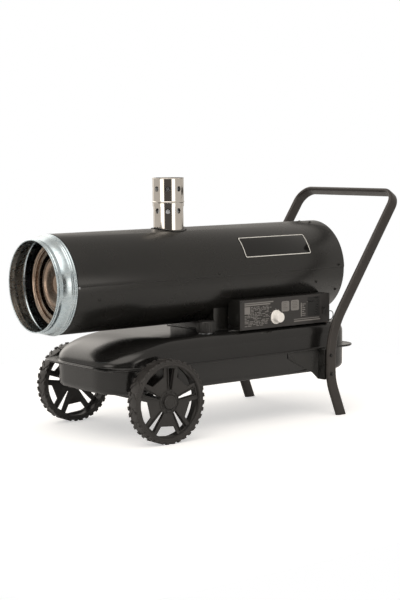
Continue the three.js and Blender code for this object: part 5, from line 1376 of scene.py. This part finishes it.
# %% Make a screw and a bolt
HEAD_STEPS = 24
HEAD_SUNK = 1
BOLT_EDGE = 0.7
WASHER = 1.6
WASHER_HOLE = 4
WASHER_SIDE = 1.2
WASHER_EDGE = 0.5
WASHER_STEPS = 40
STUD_RADIUS = 3.6
STUD_SHOWN = 3.4
STUD_EDGE = 0.6
CROSS = (1.15, 0.26)


def cross_screw(name, radius, height):
    """A pan head screw with a cross recess, head up, standing on the origin. Sizes in mm."""
    outline = (
        (0, -HEAD_SUNK), (radius, -HEAD_SUNK), (radius, height * 0.35), (radius * 0.93, height * 0.62),
        (radius * 0.72, height * 0.88), (radius * 0.4, height), (0, height * 1.02),
    )
    head = turned(name, outline, (0, 0, 0), "z", HEAD_STEPS)
    for turn in (0, math.pi / 2):
        deselect()
        bpy.ops.mesh.primitive_cube_add(size=1, location=(0, 0, height * MM), rotation=(0, 0, turn))
        bar = bpy.context.object
        size = Vector((radius * CROSS[0], radius * CROSS[1], height)) * MM
        bpy.ops.transform.resize(value=size, orient_type="LOCAL")
        carve(head, bar)
    return soft(head, HEAD_ANGLE)


def hex_bolt(name, radius, height, washer):
    """A six sided bolt head on a round washer, with the stud's end through it. Sizes in mm."""
    head = cylinder(6, radius, height, (0, 0, WASHER + height / 2))
    bpy.ops.object.transform_apply(location=True)
    rounded(head, BOLT_EDGE, angle=SHADE_ANGLE)
    washer_outline = (
        (WASHER_HOLE, -HEAD_SUNK), (washer, -HEAD_SUNK), (washer, WASHER_SIDE),
        (washer - WASHER_EDGE, WASHER), (WASHER_HOLE, WASHER),
    )
    top = height + STUD_SHOWN
    stud_outline = (
        (0, 0), (STUD_RADIUS, 0), (STUD_RADIUS, top - STUD_EDGE), (STUD_RADIUS - STUD_EDGE, top), (0, top)
    )
    ring = turned("washer", washer_outline, (0, 0, 0), "z", WASHER_STEPS)
    stud = turned("stud", stud_outline, (0, 0, 0), "z", HEAD_STEPS)
    return soft(joined(name, [head, ring, stud]), HEAD_ANGLE)


def placed(model, name, place, direction, slot_name):
    """A copy of a fastener at a place in mm, its head pointing along the direction."""
    turn = Vector(direction).to_track_quat("Z", "Y").to_matrix().to_4x4()
    piece = copied(model, name, Matrix.Translation(Vector(place) * MM) @ turn)
    hand_over(piece, "chassis", slot_name)


screw = cross_screw("screw", 4.2, 2.6)
small_screw = cross_screw("small_screw", 2.6, 1.6)
bolt = hex_bolt("bolt", 5.2, 3, 6.6)
print("screw", len(screw.data.polygons), "faces, bolt", len(bolt.data.polygons), "faces")

# %% Put them in their places
UPPER_RADIUS = 155.3
LOWER_RADIUS = 153.5
# Where along the drum, how many degrees above its middle, on which radius, and in which finish.
SHELL_SCREWS = (
    ("collar", -589, 0.4, LOWER_RADIUS, "steel"),
    ("seam", -63.4, 4.6, UPPER_RADIUS, "casing_paint"),
    ("front", -515.4, -15, LOWER_RADIUS, "casing_paint"),
    ("rear_a", 281.6, -15, LOWER_RADIUS, "casing_paint"),
    ("rear_b", 352.6, -15, LOWER_RADIUS, "casing_paint"),
    ("rear_low", 449.6, -28, LOWER_RADIUS, "casing_paint"),
    ("seam_rear", 449.6, 4.6, UPPER_RADIUS, "casing_paint"),
    ("top_rear", 431.6, 80, UPPER_RADIUS, "casing_paint"),
)
LEG_BOLTS = ((329.4, 203.5), (332.5, 141.5))
SIDES = (("near", -1), ("far", 1))
SADDLE_INSET = 4
CORNER_INSET = 5.5
for name, along, degrees, radius, slot_name in SHELL_SCREWS:
    for side_name, side in SIDES:
        turn = math.radians(degrees)
        outward = Vector((0, side * math.cos(turn), math.sin(turn)))
        place = Vector((along, 0, drum_axis)) + outward * radius
        placed(screw, "screw_" + name + "_" + side_name, place, outward, slot_name)
saddle_low, saddle_high = in_mm("flue_saddle")
for name, along in (("front", saddle_low.x + SADDLE_INSET), ("back", saddle_high.x - SADDLE_INSET)):
    placed(small_screw, "screw_saddle_" + name, (along, 0, saddle_high.z), (0, 0, 1), "black_plastic")
for end, along in (("left", panel_low.x + CORNER_INSET), ("right", panel_high.x - CORNER_INSET)):
    for height, up in (("low", panel_low.z + CORNER_INSET), ("high", panel_high.z - CORNER_INSET)):
        name = "screw_panel_" + height + "_" + end
        placed(small_screw, name, (along, panel_low.y, up), (0, -1, 0), "black_plastic")
leg_face = in_mm("handle_tube")[1].y
for number, (along, up) in enumerate(LEG_BOLTS):
    for side_name, side in SIDES:
        name = "bolt_leg_" + side_name + "_" + str(number)
        placed(bolt, name, (along, side * leg_face, up), (0, side, 0), "casing_paint")
for model in (screw, small_screw, bolt):
    bpy.data.objects.remove(model)

# %% [markdown]
# ## The filler cap, and the seam of the drum
# A moulded cap has ribs for the fingers. One rib is a half sunk round bar, copied round the cap.
# Under the edge of the upper shell runs a strip of black rubber. It is painted shade: it stands for the
# shadow under the overlap, so the seam reads as a dark line.

# %% Rib the cap
CAP_EDGE = 1.2
CAP_RIBS = 26
RIB_RADIUS = 1.7
RIB_SIDES = 12
RIB_SINK = 0.7
RIB_DROP = 1
RIB_SHORTER = 7
RIB_END = 0.9
RIB_END_ANGLE = 60
cap_low, cap_high = in_mm("filler_cap")
middle = (cap_low + cap_high) / 2
cap_radius = (cap_high.x - cap_low.x) / 2
cap = fine_copy("filler_cap", CAP_EDGE, segments=3)
rib_place = middle + Vector((cap_radius - RIB_SINK, 0, -RIB_DROP))
rib = cylinder(RIB_SIDES, RIB_RADIUS, cap_high.z - cap_low.z - RIB_SHORTER, rib_place)
bpy.ops.object.transform_apply(location=True)
rounded(rib, RIB_END, angle=RIB_END_ANGLE)
turns = [turned_about(middle, "Z", FULL_TURN * count / CAP_RIBS) for count in range(CAP_RIBS)]
ribs = [copied(rib, "rib", turn) for turn in turns]
bpy.data.objects.remove(rib)
hand_over(joined("filler_cap_fine", [cap] + ribs), "cap", "black_plastic", "filler_cap")

# %% Lay the strip of painted shade along the seam
SEAM_SHADE_RISE = 2.2
SEAM_SHADE_SHORTER = 1
shell_low, shell_high = in_mm("drum_upper_shell")
for side_name, side in SIDES:
    outline = [
        (shell_low.x + SEAM_SHADE_SHORTER, side * (LOWER_RADIUS + out), shell_low.z + up)
        for out, up in ((-0.3, 0.5), (-0.3, -SEAM_SHADE_RISE), (0.5, 0.4 - SEAM_SHADE_RISE), (1.2, 0.5))
    ]
    length = shell_high.x - shell_low.x - 2 * SEAM_SHADE_SHORTER
    # The strip is painted shade: black rubber where the seam only has the shadow of the overlap.
    strip = plate("seam_shade_" + side_name, outline, (length, 0, 0))
    hand_over(soft(strip), "chassis", "rubber")

# %% [markdown]
# ## Everything that sits inside and underneath
# These parts already have their true form in the working model. Copies of them get rounded edges and smooth
# shading, so that the light runs round them as it does on the real ones.

# %% Round the small parts
rounded_copies({
    "filler_neck": 0.4,
    "filler_strainer": 0.3,
    "cap_seal": 0.5,
    "drain_plug": 0.8,
    "fuel_pickup": 0.5,
    "fuel_return_fitting": 0.5,
    "fuel_pump": 1.2,
    "fan": 0.5,
    "fan_guard": 0.4,
    "motor_housing": 1.5,
    "motor_bracket": 0.5,
    "rotor_shaft": 0.4,
    "axle": 1.2,
    "burner_tube": 0.4,
    "shaft_coupling": 0.6,
    "fuel_supply_hose": 0.2,
    "fuel_return_hose": 0.2,
    "thermostat_capillary": 0.2,
    "nozzle_pipe": 0.2,
})

# %% [markdown]
# ## The last step
# It leaves edit mode and selects nothing.

# %% Finish
deselect()
